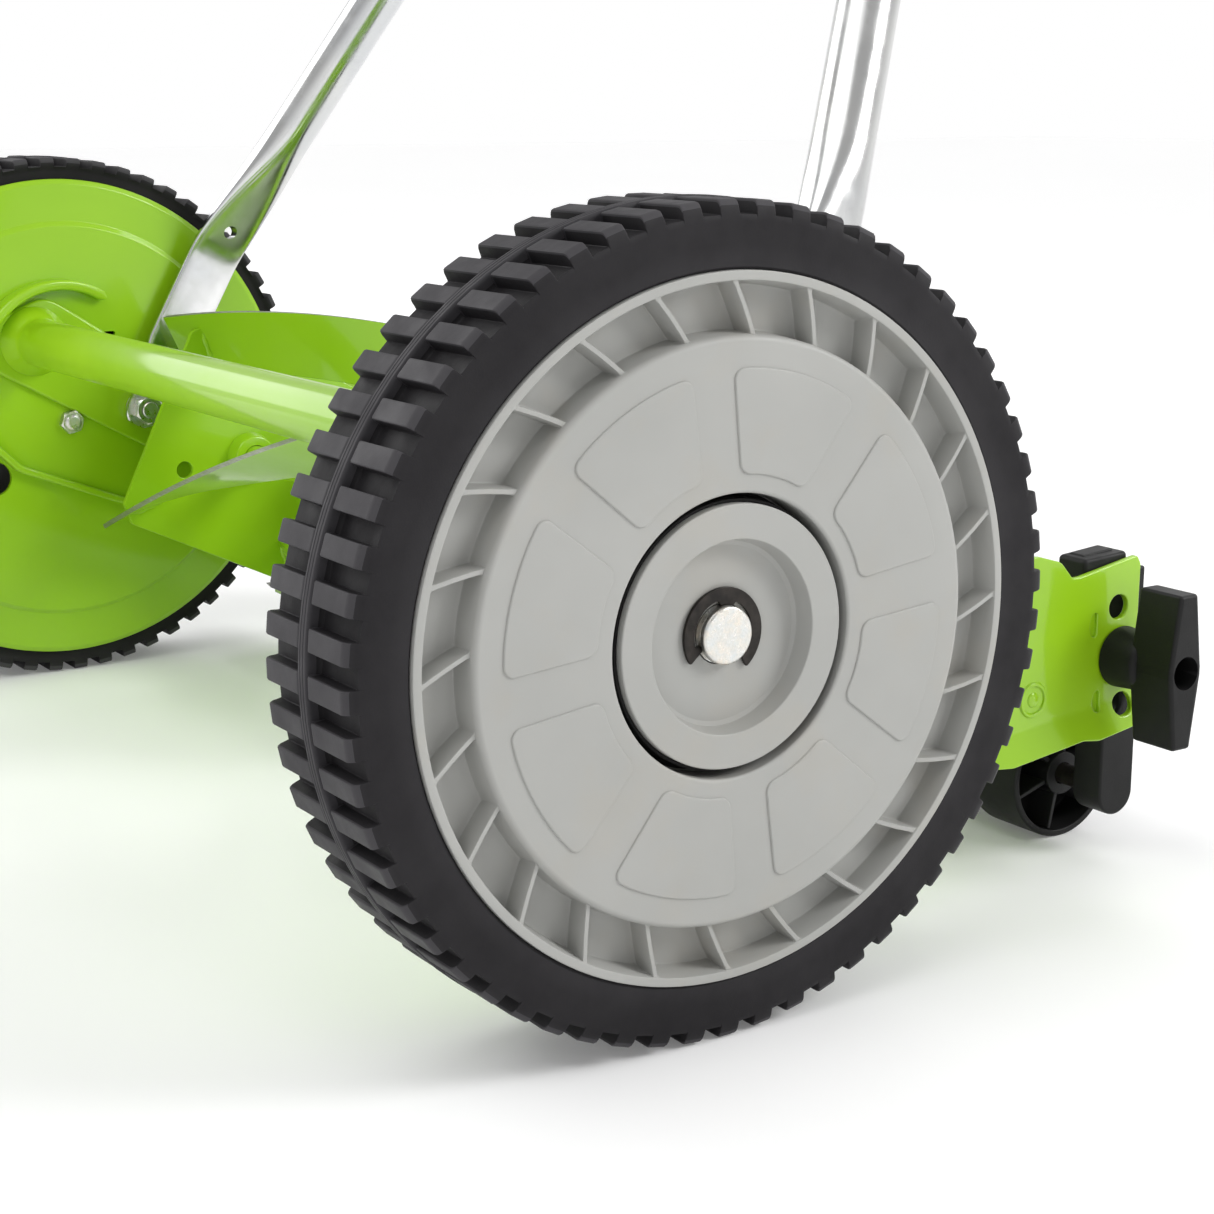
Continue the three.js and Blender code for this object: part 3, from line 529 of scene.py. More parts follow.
GREEN = green_coat()
GREY = grey_plastic()
# One rubber in two copies: the tread's is lighter as painted light on the lit tread, the sidewall's darker as
# painted shade.
TYRE_SIDE = tyre_rubber(
    "tyre_sidewall_rubber", (0.0125, 0.0115, 0.0130), (0.0185, 0.0172, 0.0190), (0.045, 0.043, 0.046))
TYRE_TREAD = tyre_rubber(
    "tyre_tread_rubber", (0.033, 0.0315, 0.035), (0.047, 0.045, 0.049), (0.080, 0.077, 0.082))
GAP_SHADE = seal_rubber()
BLACK = black_plastic()
GEAR = gear_plastic()
ZINC = zinc_steel()
CHROME = chrome_tube()
DARK = dark_steel()
GROUND = ground_steel()
FOAM = foam_rubber()

# ---- Wheels ----

LUGS = 60
LUG_PHASE = 0.84           # degrees from +Y
LUG_TOP_R = 126.7
LUG_FLOOR_R = 122.3
RIB_R = 127.0
BORE_R = 107.0
TREAD_FROM_R = 124.2       # faces further out take the tread's lighter copy of the rubber, painted light for the lit tread


def tyre():
    """Cross bars on both sides of a centre rib, over a smooth carcass with flat sidewalls."""
    top, floor = LUG_TOP_R, LUG_FLOOR_R
    # (depth behind the wheel's face, radius between bars, radius on a bar)
    section = [
        (1.6, BORE_R, BORE_R), (1.0, BORE_R + 0.7, BORE_R + 0.7), (1.0, 114, 114), (1.0, 120.4, 120.4),
        (1.15, 121.6, 122.2), (1.45, floor, 123.2), (1.9, floor, 124.9), (2.5, floor, 126.0),
        (3.1, floor, 126.5), *[(depth, floor, top) for depth in (4.0, 12, 20, 22.2)],
        (22.8, floor + 0.4, top - 0.05), (23.15, floor + 1.5, top - 0.35), (23.4, top - 1.2, top - 0.5),
        (23.6, RIB_R - 0.5, RIB_R - 0.5), (24.0, RIB_R - 0.05, RIB_R - 0.05), (24.9, RIB_R, RIB_R),
        (25.15, RIB_R - 0.3, RIB_R - 0.3), (25.4, RIB_R, RIB_R), (26.6, RIB_R, RIB_R),
        (26.85, RIB_R - 0.3, RIB_R - 0.3), (27.1, RIB_R, RIB_R), (28.0, RIB_R - 0.05, RIB_R - 0.05),
        (28.4, RIB_R - 0.5, RIB_R - 0.5), (28.6, top - 1.2, top - 0.5), (28.85, floor + 1.5, top - 0.35),
        (29.2, floor + 0.4, top - 0.05), *[(depth, floor, top) for depth in (29.8, 36, 44, 48.4)],
        (49.3, floor, top - 0.25), (49.9, floor, 125.6), (50.1, floor, 124.2),
        (49.9, floor - 0.2, 122.8), (49.2, 121.2, 121.2), (48.6, 119.6, 119.6), (48.5, 114, 114),
        (48.5, BORE_R + 0.7, BORE_R + 0.7), (47.9, BORE_R, BORE_R),
    ]
    stations = [(-3.75, 0), (-3.55, 0.04), (-3.4, 0.80), (-3.25, 0.94), (-2.8, 1)]
    stations += [(-w, h) for w, h in reversed(stations)]
    loops = []
    for k in range(LUGS):
        middle = LUG_PHASE + 360 * k / LUGS
        for width, share in stations:
            angle = middle + math.degrees(width / top)
            loops.append([
                (FACE - depth, *polar(low + (high - low) * share, angle)) for depth, low, high in section
            ])
    bm = skin(loops, wrap=True)
    # Tread faces take the lighter rubber copy: painted light.
    for face in bm.faces:
        if face.calc_center_median().yz.length > TREAD_FROM_R:
            face.material_index = 1
    return bm


RIBS = 24
RIB_PHASE = 0.2            # degrees from +Y, at the rim
RIB_SLANT = 4.6            # degrees between the rim end and the disc end
RIB_HALF = 0.85
DISC_R = 88.4
LIP_R = 103.8
RIM_OUTER_R = 106.8
BARREL_R = 101.7
DISC_HOLE_R = 42.8
CELL_DEPTH = 9             # from the rim's face to the floor between its ribs
PAD_COUNT = 8
PAD_PHASE = 29


def pad():
    """A low raised field on the wheel disc, between two radii, with round corners."""
    low, high = 48.4, 79.3
    outline = [(*polar(low, -14.5), 6.5), *arc(low, -6.5, 6.5, 6), (*polar(low, 14.5), 6.5)]
    outline += [(*polar(high, 17.2), 7.0), *arc(high, 11.5, -11.5, 10), (*polar(high, -17.2), 7.0)]
    return rounded(outline, 0, steps=7)


def wheel_rim():
    face = FACE + 0.8
    # (x, radius, x on a rib); a point with no rib value is the same all round
    cells = FACE - CELL_DEPTH
    section = [
        (RIM_BACK, RIM_OUTER_R), (FACE - 0.6, RIM_OUTER_R), (FACE - 0.18, 106.65), (FACE, 106.25),
        (FACE, 104.35), (FACE - 0.15, 103.98), (FACE - 0.55, LIP_R), (FACE - 4, 103.3, FACE - 0.62),
        (FACE - 8.1, 102.7, FACE - 0.66), (FACE - 8.75, 102.4, FACE - 0.68), (cells, 101.8, FACE - 0.7),
        (cells, 97, FACE - 0.85), (cells, 92, FACE - 1.05), (cells, 90.0, FACE - 1.15),
        (FACE - 8.75, 89.4, FACE - 1.2), (FACE - 8.1, 89.1, FACE - 1.22), (FACE - 4, 88.8, FACE - 1.24),
        (FACE - 1.3, DISC_R + 0.15), (FACE - 0.35, DISC_R - 0.05), (FACE + 0.3, DISC_R - 0.5),
        (face - 0.08, DISC_R - 1.1), (face, DISC_R - 1.9), (face, 80), (face, 66), (face, 50), (face, 44.0),
        (face - 0.12, 43.3), (face - 0.5, 42.9), (face - 1.0, DISC_HOLE_R), (face - 10, DISC_HOLE_R),
        (face - 10, 45.8), (face - 3, 46.2), (face - 3, 84.4), (FACE - 12, 85.0), (FACE - 12, BARREL_R),
        (RIM_BACK, BARREL_R),
    ]
    pitch = 360 / RIBS
    stations = [(-1.9, 0), (-1.3, 0.05), (-RIB_HALF - 0.12, 0.93), (-RIB_HALF + 0.15, 1)]
    stations += [(-w, h) for w, h in reversed(stations)]
    loops = []

    def point(x, r, middle, width):
        share = min(max((r - DISC_R) / (LIP_R - DISC_R), 0), 1)
        angle = middle - RIB_SLANT * (1 - share) + math.degrees(width / r)
        return (x, *polar(r, angle))

    for k in range(RIBS):
        middle = RIB_PHASE + pitch * k
        for width, share in stations:
            loops.append([
                point(x + (on_rib[0] - x) * share if on_rib else x, r, middle, width)
                for x, r, *on_rib in section
            ])
        for step in range(1, 6):
            loops.append([point(p[0], p[1], middle + pitch * step / 6, 0) for p in section])
    rim = skin(loops, wrap=True)
    pads = []
    for k in range(PAD_COUNT):
        turn = math.radians(PAD_PHASE + 360 * k / PAD_COUNT)
        c, s = math.cos(turn), math.sin(turn)
        outline = [(y * c - z * s, y * s + z * c) for y, z in pad()]
        pads.append(slab(outline, face - 0.6, face + 0.6, edge=0.55, steps=3))
    return together(rim, *pads)


BOSS_R = 39.8
BOSS_BORE_R = 9.3
BOSS_BARREL_R = 16
BOSS_FLANGE_R = 84


def hub_boss():
    ring = FACE + 0.5
    floor = FACE - 6.2
    profile = [
        (floor, BOSS_BORE_R), (floor, 26.6, 0.9), (floor + 0.5, 28.0, 0.4), (ring, 29.3, 0.5),
        (ring, BOSS_R, 0.5), (FACE - 14, BOSS_R), (FACE - 14, BOSS_FLANGE_R), (FACE - 17, BOSS_FLANGE_R),
        (FACE - 17, 44), (FACE - 20, 24), (FACE - 20, BOSS_BARREL_R), (RIM_BACK + 0.6, BOSS_BARREL_R),
        (RIM_BACK + 0.6, BOSS_BORE_R),
    ]
    return lathe(profile, count=128, steps=5)


def hub_seal():
    """A near-black rubber sleeve round the boss, standing on a flange at the bottom of the gap; its black is
    painted shade for the deep gap.
    """
    sleeve, top = BOSS_R + 0.25, FACE - 1.9
    profile = [
        (FACE - 13.6, sleeve), (top, sleeve), (top, sleeve + 0.85, 0.3), (FACE - 5, sleeve + 0.95),
        (FACE - 11, sleeve + 1.2), (FACE - 11, 42.5), (FACE - 13.6, 42.5),
    ]
    return lathe(profile, count=128, steps=3)


def axle_clip():
    """A snap ring with an open mouth and three fingers that hold the axle's groove."""
    tilt = 261
    mouth = 47
    inner = []
    for angle in range(360 - mouth - 6, mouth + 5, -6):
        held = abs(angle - 180) < 15 or angle < mouth + 16 or angle > 344 - mouth
        inner.append(polar(7.8 if held else 10.4, tilt + angle))
    outline = arc(14.2, tilt + mouth, tilt + 360 - mouth, 40) + inner
    return slab(rounded(outline, 0.5, 2), *CLIP_X, edge=0.25)


def axle():
    end = reach("axle_left")[1]
    r, groove, collar, thread_r = 8.9, 7.6, 14, 6
    profile = [
        (end, 0), (end, r, 1.0), (CLIP_X[1] + 0.6, r), (CLIP_X[1] + 0.3, groove), (CLIP_X[0] - 0.1, groove),
        (CLIP_X[0] - 0.3, r), (PLATE + 6.8, r), (PLATE + 6.8, collar, 0.5), (PLATE + 2.8, collar, 0.5),
        (PLATE + 2.8, thread_r), (PLATE - 0.6, thread_r), (PLATE - 0.6, 4.4), (PLATE - 4, 4.4),
        (PLATE - 4, 0),
    ]
    return lathe(profile, count=64)


def build_wheels():
    both_sides("tyre", tyre(), "wheel_{}", [TYRE_SIDE, TYRE_TREAD], 40)
    both_sides("wheel_rim", wheel_rim(), "wheel_{}", GREY, 38)
    both_sides("hub_boss", hub_boss(), "wheel_{}", GREY)
    both_sides("hub_seal", hub_seal(), "wheel_{}", GAP_SHADE)
    both_sides("axle_clip", axle_clip(), "frame", DARK)
    both_sides("axle", axle(), "frame", ZINC)


# ---- Frame ----

THICK = 2.5                 # of the sheet metal
PLATE_R = 116.5
STEP_R = 95.0


def side_plate():
    """A pressed disc: flat middle, sloping shoulder, rolled rim and a few holes; its raised fields come from
    plate_pressings().
    """
    inner, outer = PLATE, PLATE + THICK
    profile = [
        (outer, 6.4), (outer, STEP_R, 1.0), (outer + 2.2, STEP_R + 2.2, 1.0),
        (outer + 3.4, PLATE_R - 3.5, 1.5), (outer + 4.1, PLATE_R - 3.0, 0.6),
        (outer + 4.1, PLATE_R, 0.6), (inner + 4.4, PLATE_R, 0.8), (inner + 3.2, PLATE_R - 2.4, 1.2),
        (inner + 2.2, STEP_R + 1.6, 0.8), (inner, STEP_R - 0.6, 0.8), (inner, 6.4),
    ]
    disc = lathe(profile, count=160)
    slot = rounded([(20, 40.4), (26, 40.4), (26, 42.6), (20, 42.6)], 1.0)
    holes = [circle(8.3, -38.5, -25.5), circle(14.3, *REEL), circle(4.6, *HANDLE), slot]
    return carved(disc, *[slab(hole, inner - 8, outer + 8, edge=0.1, steps=1) for hole in holes])


def lip(path, depths, half=1.5):
    """A standing edge on the side plate's face towards the reel, its depth changing along its path."""
    stations = []
    for i, (y, z) in enumerate(path):
        share = i / (len(path) - 1)
        depth = depths[0] + (depths[1] - depths[0]) * share
        ahead = Vector(path[min(i + 1, len(path) - 1)]) - Vector(path[max(i - 1, 0)])
        across = Vector((0, -ahead.y, ahead.x)).normalized()
        thin = half if 0 < i < len(path) - 1 else half * 0.4
        centre = Vector((PLATE + 1 - depth / 2, y, z))
        stations.append((centre, across, Vector((1, 0, 0)), thin, depth / 2 + 1, 4))
    return lofted(stations, 28)


def plate_pressings():
    """Raised fields on the side plate's face towards the reel."""
    arm = rounded([
        (-38, 27.4), (-33.6, 25, 1), (30, -11, 6), (64, -30, 8), (64, 16, 8), (20, 42, 10), (-10, 62, 14),
        (-38, 50, 10),
    ], 2, 5)
    channel = rounded([
        (-40, 20), (-44, -4, 8), (-27, -21, 12), (21, -40, 12), (58, -54, 10), (70, -20, 10), (30, -6, 3),
        (-34, 28, 3),
    ], 3, 5)
    hood = arc(43, 150, 56, 30, -3.5, 23.6)
    rolled = rounded([(-41, 16), (-44, -4, 14), (-27, -21, 14), (21, -40, 20), (52, -51)], 0, 8, closed=False)
    return together(
        slab(arm, PLATE - 5.2, PLATE + 1, edge=1.4, steps=4),
        slab(channel, PLATE - 2.4, PLATE + 1, edge=1.4, steps=4),
        lip(hood, (13, 5), 2.6),
        lip(rolled, (5.6, 5.6), 1.9),
    )


def tie_tube():
    end = PLATE - 0.4
    half = [(end, 17.6, 0.6), (end - 5.5, 16.6, 2.5), (end - 15, 11.5, 9), (end - 60, 11.5)]
    whole = [(-end, 9.4)] + [(-p[0], *p[1:]) for p in half] + half[::-1] + [(end, 9.4)]
    return lathe(whole, TIE, 64, 5)


HEIGHT_PITCH = 18.8         # between the bracket's height holes
HEIGHT_LEAN = 1.8           # of their row, for each pitch
EMBOSS = (178.4, -58.6)     # middle of the embossed ring


def height_bracket():
    """A flat sheet with height holes, shallow D marks, an embossed ring and a flared lower front corner."""
    outline = rounded([
        (50, -2), (178.8, -5.7, 6), (190, -9, 6), (196, -15.6, 2), (200, -15.6, 1), (229, -10.6, 2.0),
        (231, -14, 2), (230.6, -75.5, 3), (209.3, -78.8, 8), (201.9, -77.8, 5), (166.6, -82.3, 10),
        (142, -80, 14), (98, -46, 20), (50, -36, 6),
    ], 3, 5)
    y, z = CLAMP
    holes = [circle(4.6, y - HEIGHT_LEAN * k, z + k * HEIGHT_PITCH, 28) for k in (-1, 0, 1)]
    holes.append(circle(14.8, *REEL))
    holes.append(circle(4.3, *PIVOT, 24))
    floors = []
    for y, z, tall in ((207.8, -34.7, 5.0), (210.7, -64.1, 4.6)):
        holes.append(rounded([
            (y + 1.6, z - tall, 0.9), (y + 1.6, z + tall, 0.9), (y - 0.9, z + tall * 0.75, 1.5),
            (y - 1.9, z, 2), (y - 0.9, z - tall * 0.75, 1.5),
        ], 1.0, 3))
        low, high = z - tall - 2, z + tall + 2
        field = rounded([(y - 4, low), (y + 3, low), (y + 3, high), (y - 4, high)], 1)
        floors.append(slab(field, BRACKET + 0.2, BRACKET_OUT - 1.2, edge=0.1, steps=1))
    bm = slab(outline, BRACKET, BRACKET_OUT, holes, edge=0.65, steps=3)
    bent(bm, (190, -66.5), (0.10, -1), 20, 7)
    back = BRACKET_OUT - 0.6
    ring = [(back, 4.6), (BRACKET_OUT + 0.7, 5.3, 0.4), (BRACKET_OUT + 0.7, 6.3, 0.4), (back, 7.2)]
    back = BRACKET_OUT - 0.8
    dome = [(back, 0), (BRACKET_OUT + 0.9, 0), (BRACKET_OUT + 0.4, 2.4, 1.2), (back, 3.6)]
    return together(bm, lathe(ring, EMBOSS, 40, 3), lathe(dome, EMBOSS, 32), *floors)


def hexagon(r, centre, turn=0):
    return [polar(r, turn + 60 * k, *centre) for k in range(6)]


def nut(x0, x1, across, bore, centre, turn=0):
    """A hexagonal nut or bolt head with its corners chamfered; bore 0 leaves it solid."""
    r = across / math.sqrt(3)
    holes = [circle(bore, *centre, 24)] if bore else []
    body = slab(hexagon(r, centre, turn), x0, x1, holes, edge=0.3)
    slope, flat = 1.1, across / 2 - 0.2
    profile = [(x0, 0), (x0, flat), (x0 + slope, r + 0.1), (x1 - slope, r + 0.1), (x1, flat), (x1, 0)]
    return carved(body, turned(profile, centre, 48), operation="INTERSECT")


def washer(x0, x1, bore, r, centre):
    return lathe([(x0, bore), (x0, r, 0.3), (x1, r, 0.3), (x1, bore)], centre, 40, 2)


def thread(x0, x1, r, centre):
    """A threaded end as a row of grooves."""
    pitch = 1.25
    turns = max(int((x1 - x0) / pitch), 1)
    profile = [(x0, 0)]
    for k in range(turns):
        profile += [(x0 + k * pitch, r - 0.45), (x0 + (k + 0.5) * pitch, r)]
    profile += [(x1, r - 0.6), (x1, 0)]
    return turned(profile, centre, 32)


def axle_nut():
    return together(
        nut(PLATE - 6.2, PLATE - 1.6, 10.4, 0, (0, 0), 12),
        washer(PLATE - 1.7, PLATE - 0.3, 4.6, 7.2, (0, 0)),
        lathe([(PLATE - 8, 0), (PLATE - 8, 3.2, 1.8), (PLATE - 6, 5.0, 1.2), (PLATE - 6, 0)], count=32),
    )


def build_frame():
    both_sides("side_plate", together(side_plate(), plate_pressings()), "frame", GREEN)
    both_sides("height_bracket", height_bracket(), "frame", GREEN)
    both_sides("axle_nut", axle_nut(), "frame", ZINC)
    finished("tie_tube", tie_tube(), "frame", GREEN)


# ---- Reel ----

REEL_R = 76
BLADES = 4
BLADE_THICK = 2.4
BLADE_END = reach("reel_blade_1")[1]
BLADE_TWIST = -0.258        # degrees per millimetre towards +X
BLADE_PHASE = 205           # degrees, the first blade at its right-hand end
SPIDER_R = 69
SPIDER_XS = {"left": 205.6, "middle": 0.0, "right": -205.6}


def blade_angle(number, x):
    return BLADE_PHASE - number * 360 / BLADES + BLADE_TWIST * (x + BLADE_END)


def on_blade(number, x, r, side):
    """A point of a blade, at a radius and a distance to one side of its middle."""
    angle = blade_angle(number, x)
    y, z = polar(r, angle)
    ny, nz = polar(side, angle + 90)
    return x, REEL[0] + y + ny, REEL[1] + z + nz


def blade(number):
    """A helical strip; its outer edge is ground bare along a narrow land."""
    half = BLADE_THICK / 2
    section = [
        (46.3, -half + 0.3), (46.6, -half), (REEL_R - 2.6, -half), (REEL_R - 0.15, -half + 0.1),
        (REEL_R, -half + 0.25), (REEL_R, half - 0.25), (REEL_R - 0.15, half), (46.6, half),
        (46.3, half - 0.3),
    ]
    steps = 110
    loops = []
    for k in range(steps + 1):
        x = -BLADE_END + 2 * BLADE_END * k / steps
        loops.append([on_blade(number, x, r, side) for r, side in section])
    bm = skin(loops)
    axis = Vector((0, *REEL))
    for face in bm.faces:
        middle = face.calc_center_median()
        middle.x = 0
        if (middle - axis).length > REEL_R - 2.4:
            face.material_index = 1
    return bm


def spider(x):
    """A square plate whose corners carry the blades, with a pressed hub and a hole by every other blade."""
    angles = [blade_angle(i, x) for i in range(BLADES)]
    corners = []
    for a in angles:
        corners += [(*polar(SPIDER_R, a + 4.5, *REEL), 2.5), (*polar(SPIDER_R, a - 4.5, *REEL), 2.5)]
    outline = rounded(anticlockwise([tuple(c[:2]) for c in corners]), 2.5, 4)
    holes = [circle(4.1, *polar(35, a - 13, *REEL), 24) for a in (angles[0], angles[2])]
    holes.append(circle(6.3, *REEL, 32))
    body = slab(outline, x - 1.5, x + 1.5, holes, edge=0.5, steps=2)
    hub = [(x - 9, 6.3), (x - 9, 10.5, 1), (x - 2, 12, 2), (x + 2, 12, 2), (x + 9, 10.5, 1), (x + 9, 6.3)]
    return together(body, lathe(hub, REEL, 40, 3))


def weld_beads(x):
    """Short weld seams where the blades meet a spider."""
    beads = []
    for number in range(BLADES):
        across = Vector((0, *polar(1, blade_angle(number, x) + 90)))
        for side in (-1, 1):
            stations = []
            for k in range(9):
                r = 50 + 2.0 * k
                swell = 1.5 + 0.25 * math.sin(k * 2.3 + number)
                centre = Vector(on_blade(number, x + 1.6, r, side * (BLADE_THICK / 2)))
                size = swell if 0 < k < 8 else 0.5
                stations.append((centre, Vector((1, 0, 0)), across, size, size, 2))
            beads.append(lofted(stations, 10))
    return beads


def reel_shaft():
    """A bar painted with the reel between the outer spiders and bare beyond them."""
    low, high = reach("reel_shaft")
    painted = SPIDER_XS["left"] + 12
    profile = [(low, 0), (low, 6, 0.8), (-painted, 6), (painted, 6), (high, 6, 0.8), (high, 0)]
    bm = lathe(profile, REEL, 40, 3)
    for face in bm.faces:
        face.material_index = int(abs(face.calc_center_median().x) < painted)
    return bm


def reel_bearing():
    low, high = reach("reel_bearing_left")
    profile = [(low, 6.4), (low, 13.8, 0.8), (high, 13.8, 0.8), (high, 6.4)]
    return lathe(profile, REEL, 48, 3)


def build_reel():
    for number in range(BLADES):
        finished(f"reel_blade_{number + 1}", blade(number), "reel", [GREEN, GROUND], 40)
    for side, x in SPIDER_XS.items():
        finished(f"spider_{side}", together(spider(x), *weld_beads(x)), "reel", GREEN)
    finished("reel_shaft", reel_shaft(), "reel", [DARK, GREEN])
    both_sides("reel_bearing", reel_bearing(), "frame", BLACK)


# ---- Bedknife ----

KNIFE_FRONT = 100.5
KNIFE_REAR = 130
KNIFE_TOP = -92.7


def bedknife():
    end = reach("bedknife")[1]
    top, base = KNIFE_TOP, KNIFE_TOP - 2.5
    outline = [(KNIFE_FRONT, top), (KNIFE_FRONT + 2.5, base), (KNIFE_REAR, base), (KNIFE_REAR, top)]
    return slab(rounded(outline, 0.15, 2), -end, end, edge=0.2)


def bedknife_carrier():
    end = reach("bedknife_carrier")[1]
    seat = KNIFE_TOP - 2.8
    rear = KNIFE_REAR + 5
    outline = [(KNIFE_FRONT + 5, seat, 0.6), (rear - 1, seat, 2.5)]
    outline += [(*p, 0) for p in arc(8, 160, 20, 12, *PIVOT)]
    outline += [(*p, 0) for p in arc(8, 20, -110, 12, *PIVOT)[1:]]
    outline += [(rear + 2, seat - 3, 4), (KNIFE_FRONT + 5, seat - 3, 0.8)]
    return slab(rounded(outline, 0, 4), -end, end, [circle(4.4, *PIVOT, 24)], edge=0.6, steps=2)


def knife_screws():
    """Countersunk screws that hold the bedknife to its carrier."""
    screws = []
    profile = [(0, 0), (0.5, 2.4), (0.55, 5.0), (0.1, 5.6), (-0.3, 5.8), (-0.3, 0)]
    count = 28
    for x in range(-200, 201, 100):
        loops = []
        for i in range(count):
            c, s = math.cos(2 * math.pi * i / count), math.sin(2 * math.pi * i / count)
            loops.append([(x + r * c, 116 + r * s, KNIFE_TOP + h) for h, r in profile])
        screws.append(skin(loops, wrap=True))
    return together(*screws)


def bedknife_pivot():
    head = nut(BRACKET_OUT + 1.4, BRACKET_OUT + 6, 13, 0, PIVOT, 20)
    shank = pin(BRACKET - 29, BRACKET_OUT + 2, 3.9, PIVOT, 32)
    return together(head, shank, washer(BRACKET_OUT + 0.2, BRACKET_OUT + 1.5, 4.1, 8.6, PIVOT))


def build_bedknife():
    finished("bedknife_carrier", bedknife_carrier(), "bedknife_bar", GREEN)
    finished("bedknife", bedknife(), "bedknife_bar", GROUND)
    finished("bedknife_screws", knife_screws(), "bedknife_bar", ZINC, replaced=False)
    both_sides("bedknife_pivot", bedknife_pivot(), "frame", ZINC)


# ---- Cutting height ----

ROLLER_R = 25.5
ROLLER_END = reach("rear_roller")[1]


def height_slider():
    """A block behind the bracket with a small cap above it and a strap down to the roller."""
    wide, strap = (214.2, 236.8), (218.3, 235.9)
    middle, r = sum(strap) / 2, (strap[1] - strap[0]) / 2
    bottom, top = [corner.z - AXLE.z for corner in box_mm("height_slider_left")]
    y, z = CLAMP
    slot = arc(4.6, 0, 180, 10, y, z + HEIGHT_PITCH) + arc(4.6, 180, 360, 10, y, z - HEIGHT_PITCH)
    end = [(*p, 0) for p in arc(r, 180, 360, 24, middle, bottom + r)]
    bar = rounded([(wide[0], -16, 1), (wide[0], -74, 2), (strap[0], -78, 2), *end, (strap[1], -78, 2),
                   (wide[1], -74, 2), (wide[1], -16, 1)], 0)
    body = slab(bar, SLIDER_IN, SLIDER_OUT, [slot], edge=1.1, steps=3)
    low, high = 204.8, 226.8
    head = rounded([
        (low, -20), (high, -20), (high, top - 0.2, 1.8), (low + 11, top - 0.9, 1), (low + 9, top - 0.9, 1),
        (low, top - 1.6, 1.8),
    ], 0.8, 4)
    nib = rounded([
        (low + 3, top - 4), (high - 3, top - 4), (high - 3.4, top + 0.5, 1), (low + 3.4, top - 0.8, 1),
    ], 0.5, 3)
    return together(
        carved(body, pin(SLIDER_IN - 5, SLIDER_OUT - 3, 4.3, ROLLER, 24)),
        slab(head, SLIDER_OUT - 14, SLIDER_OUT, edge=1.5, steps=4),
        slab(nib, SLIDER_OUT - 12.0, SLIDER_OUT - 4.2, edge=0.8, steps=3),
    )


def rear_roller():
    """A moulded roller: wide drums at the ends, a slimmer middle and open ribbed ends."""
    end, cave = ROLLER_END, ROLLER_END - 14
    half = [
        (12, 20.6), (end - 70, 21.6, 4), (end - 32, 22.4, 4), (end - 25, ROLLER_R, 3), (end, ROLLER_R, 0.9),
        (end, 22.9, 0.6), (cave, 22.2, 1), (cave, 9, 1), (end, 8.4, 0.5), (end, 4.4),
    ]
    ribs = []
    for k in range(6):
        turn = 60 * k + 18
        outline = []
        for r, w in ((8, -0.9), (22.6, -0.75), (22.6, 0.75), (8, 0.9)):
            y, z = polar(r, turn, *ROLLER)
            outline.append(polar(w, turn + 90, y, z))
        for x0, x1 in ((cave - 0.5, end - 1.6), (1.6 - end, 0.5 - cave)):
            ribs.append(slab(outline, x0, x1, edge=0.25, steps=1))
    return together(lathe([(-p[0], *p[1:]) for p in half][::-1] + half, ROLLER, 72), *ribs)


def roller_axle():
    low, high = reach("roller_axle")
    return lathe([(low, 0), (low, 4, 0.6), (high, 4, 0.6), (high, 0)], ROLLER, 32, 3)


KNOB_HALF = 28.9


def clamp_knob():
    """A T knob: a thick six-sided bar with rounded edges on a round boss, with a blind screw hole."""
    y, z = CLAMP
    bar_x = KNOB_FACE - 20.3
    side = [(4.4, KNOB_HALF), (8.0, 1.5), (8.0, -1.5), (4.4, -KNOB_HALF)]
    outline = [(y + a, z + b) for a, b in side[::-1]] + [(y - a, z + b) for a, b in side]
    bar = slab(rounded(outline, 1.3, 4), bar_x, KNOB_FACE, edge=1.5, steps=4)
    deep, proud = KNOB_FACE - 12, KNOB_FACE + 2
    hole = turned([(deep, 0), (deep, 6.0), (proud, 6.2), (proud, 0)], CLAMP, 40)
    start, end = BRACKET_OUT + 0.3, bar_x + 4
    boss = lathe([(start, 0), (start, 11.6, 0.8), (bar_x - 1.5, 10.8), (end, 9.8, 3), (end, 0)], CLAMP, 48)
    return together(carved(bar, hole), boss)


def clamp_bolt():
    """A carriage bolt: a domed head inside the slider and a threaded end in the knob."""
    profile = [(-0.2, 0), (-0.2, 8.4), (-1.6, 8.2, 1), (-4.4, 3, 3), (-4.6, 0)]
    head = lathe([(SLIDER_IN + p[0], *p[1:]) for p in profile], CLAMP, 40)
    return together(head, thread(SLIDER_IN - 1, KNOB_FACE - 13, 3.9, CLAMP))


def build_height_parts():
    both_sides("height_slider", height_slider(), "height_carriage", BLACK)
    finished("rear_roller", rear_roller(), "roller", BLACK)
    finished("roller_axle", roller_axle(), "height_carriage", DARK)
    both_sides("clamp_knob", clamp_knob(), "clamp_knob_{}", BLACK)
    both_sides("clamp_bolt", clamp_bolt(), "frame", ZINC)


# ---- Handle ----

HANDLE_ANGLE = math.atan2(FOLD[1] - HANDLE[1], FOLD[0] - HANDLE[0])
ALONG = Vector((0, math.cos(HANDLE_ANGLE), math.sin(HANDLE_ANGLE)))
ACROSS = Vector((0, -math.sin(HANDLE_ANGLE), math.cos(HANDLE_ANGLE)))
LEAN = math.radians(20)
FOLD_REACH = math.hypot(FOLD[0] - HANDLE[0], FOLD[1] - HANDLE[1])
GRIP_REACH = math.hypot(GRIP[0] - HANDLE[0], GRIP[1] - HANDLE[1])
TUBE_R = 11
STRIP_X = 235.6
STRIP_HALF = 13
BEND_REACH = 86
LOWER_TOP_X = 36
UPPER_X = 12.5
HOLE_REACH = 97             # from the pivot to the hole above the bend
TUBE_END = [(20.5, 0), (21.6, 0.4), (22, 1.2)]     # (past the fold bolt, rounding off) at a tube's end
LOWER_TOP_REACH = BEND_REACH + (STRIP_X - LOWER_TOP_X) / math.tan(LEAN)


def on_handle(x, along):
    return Vector((x, *HANDLE)) + ALONG * along


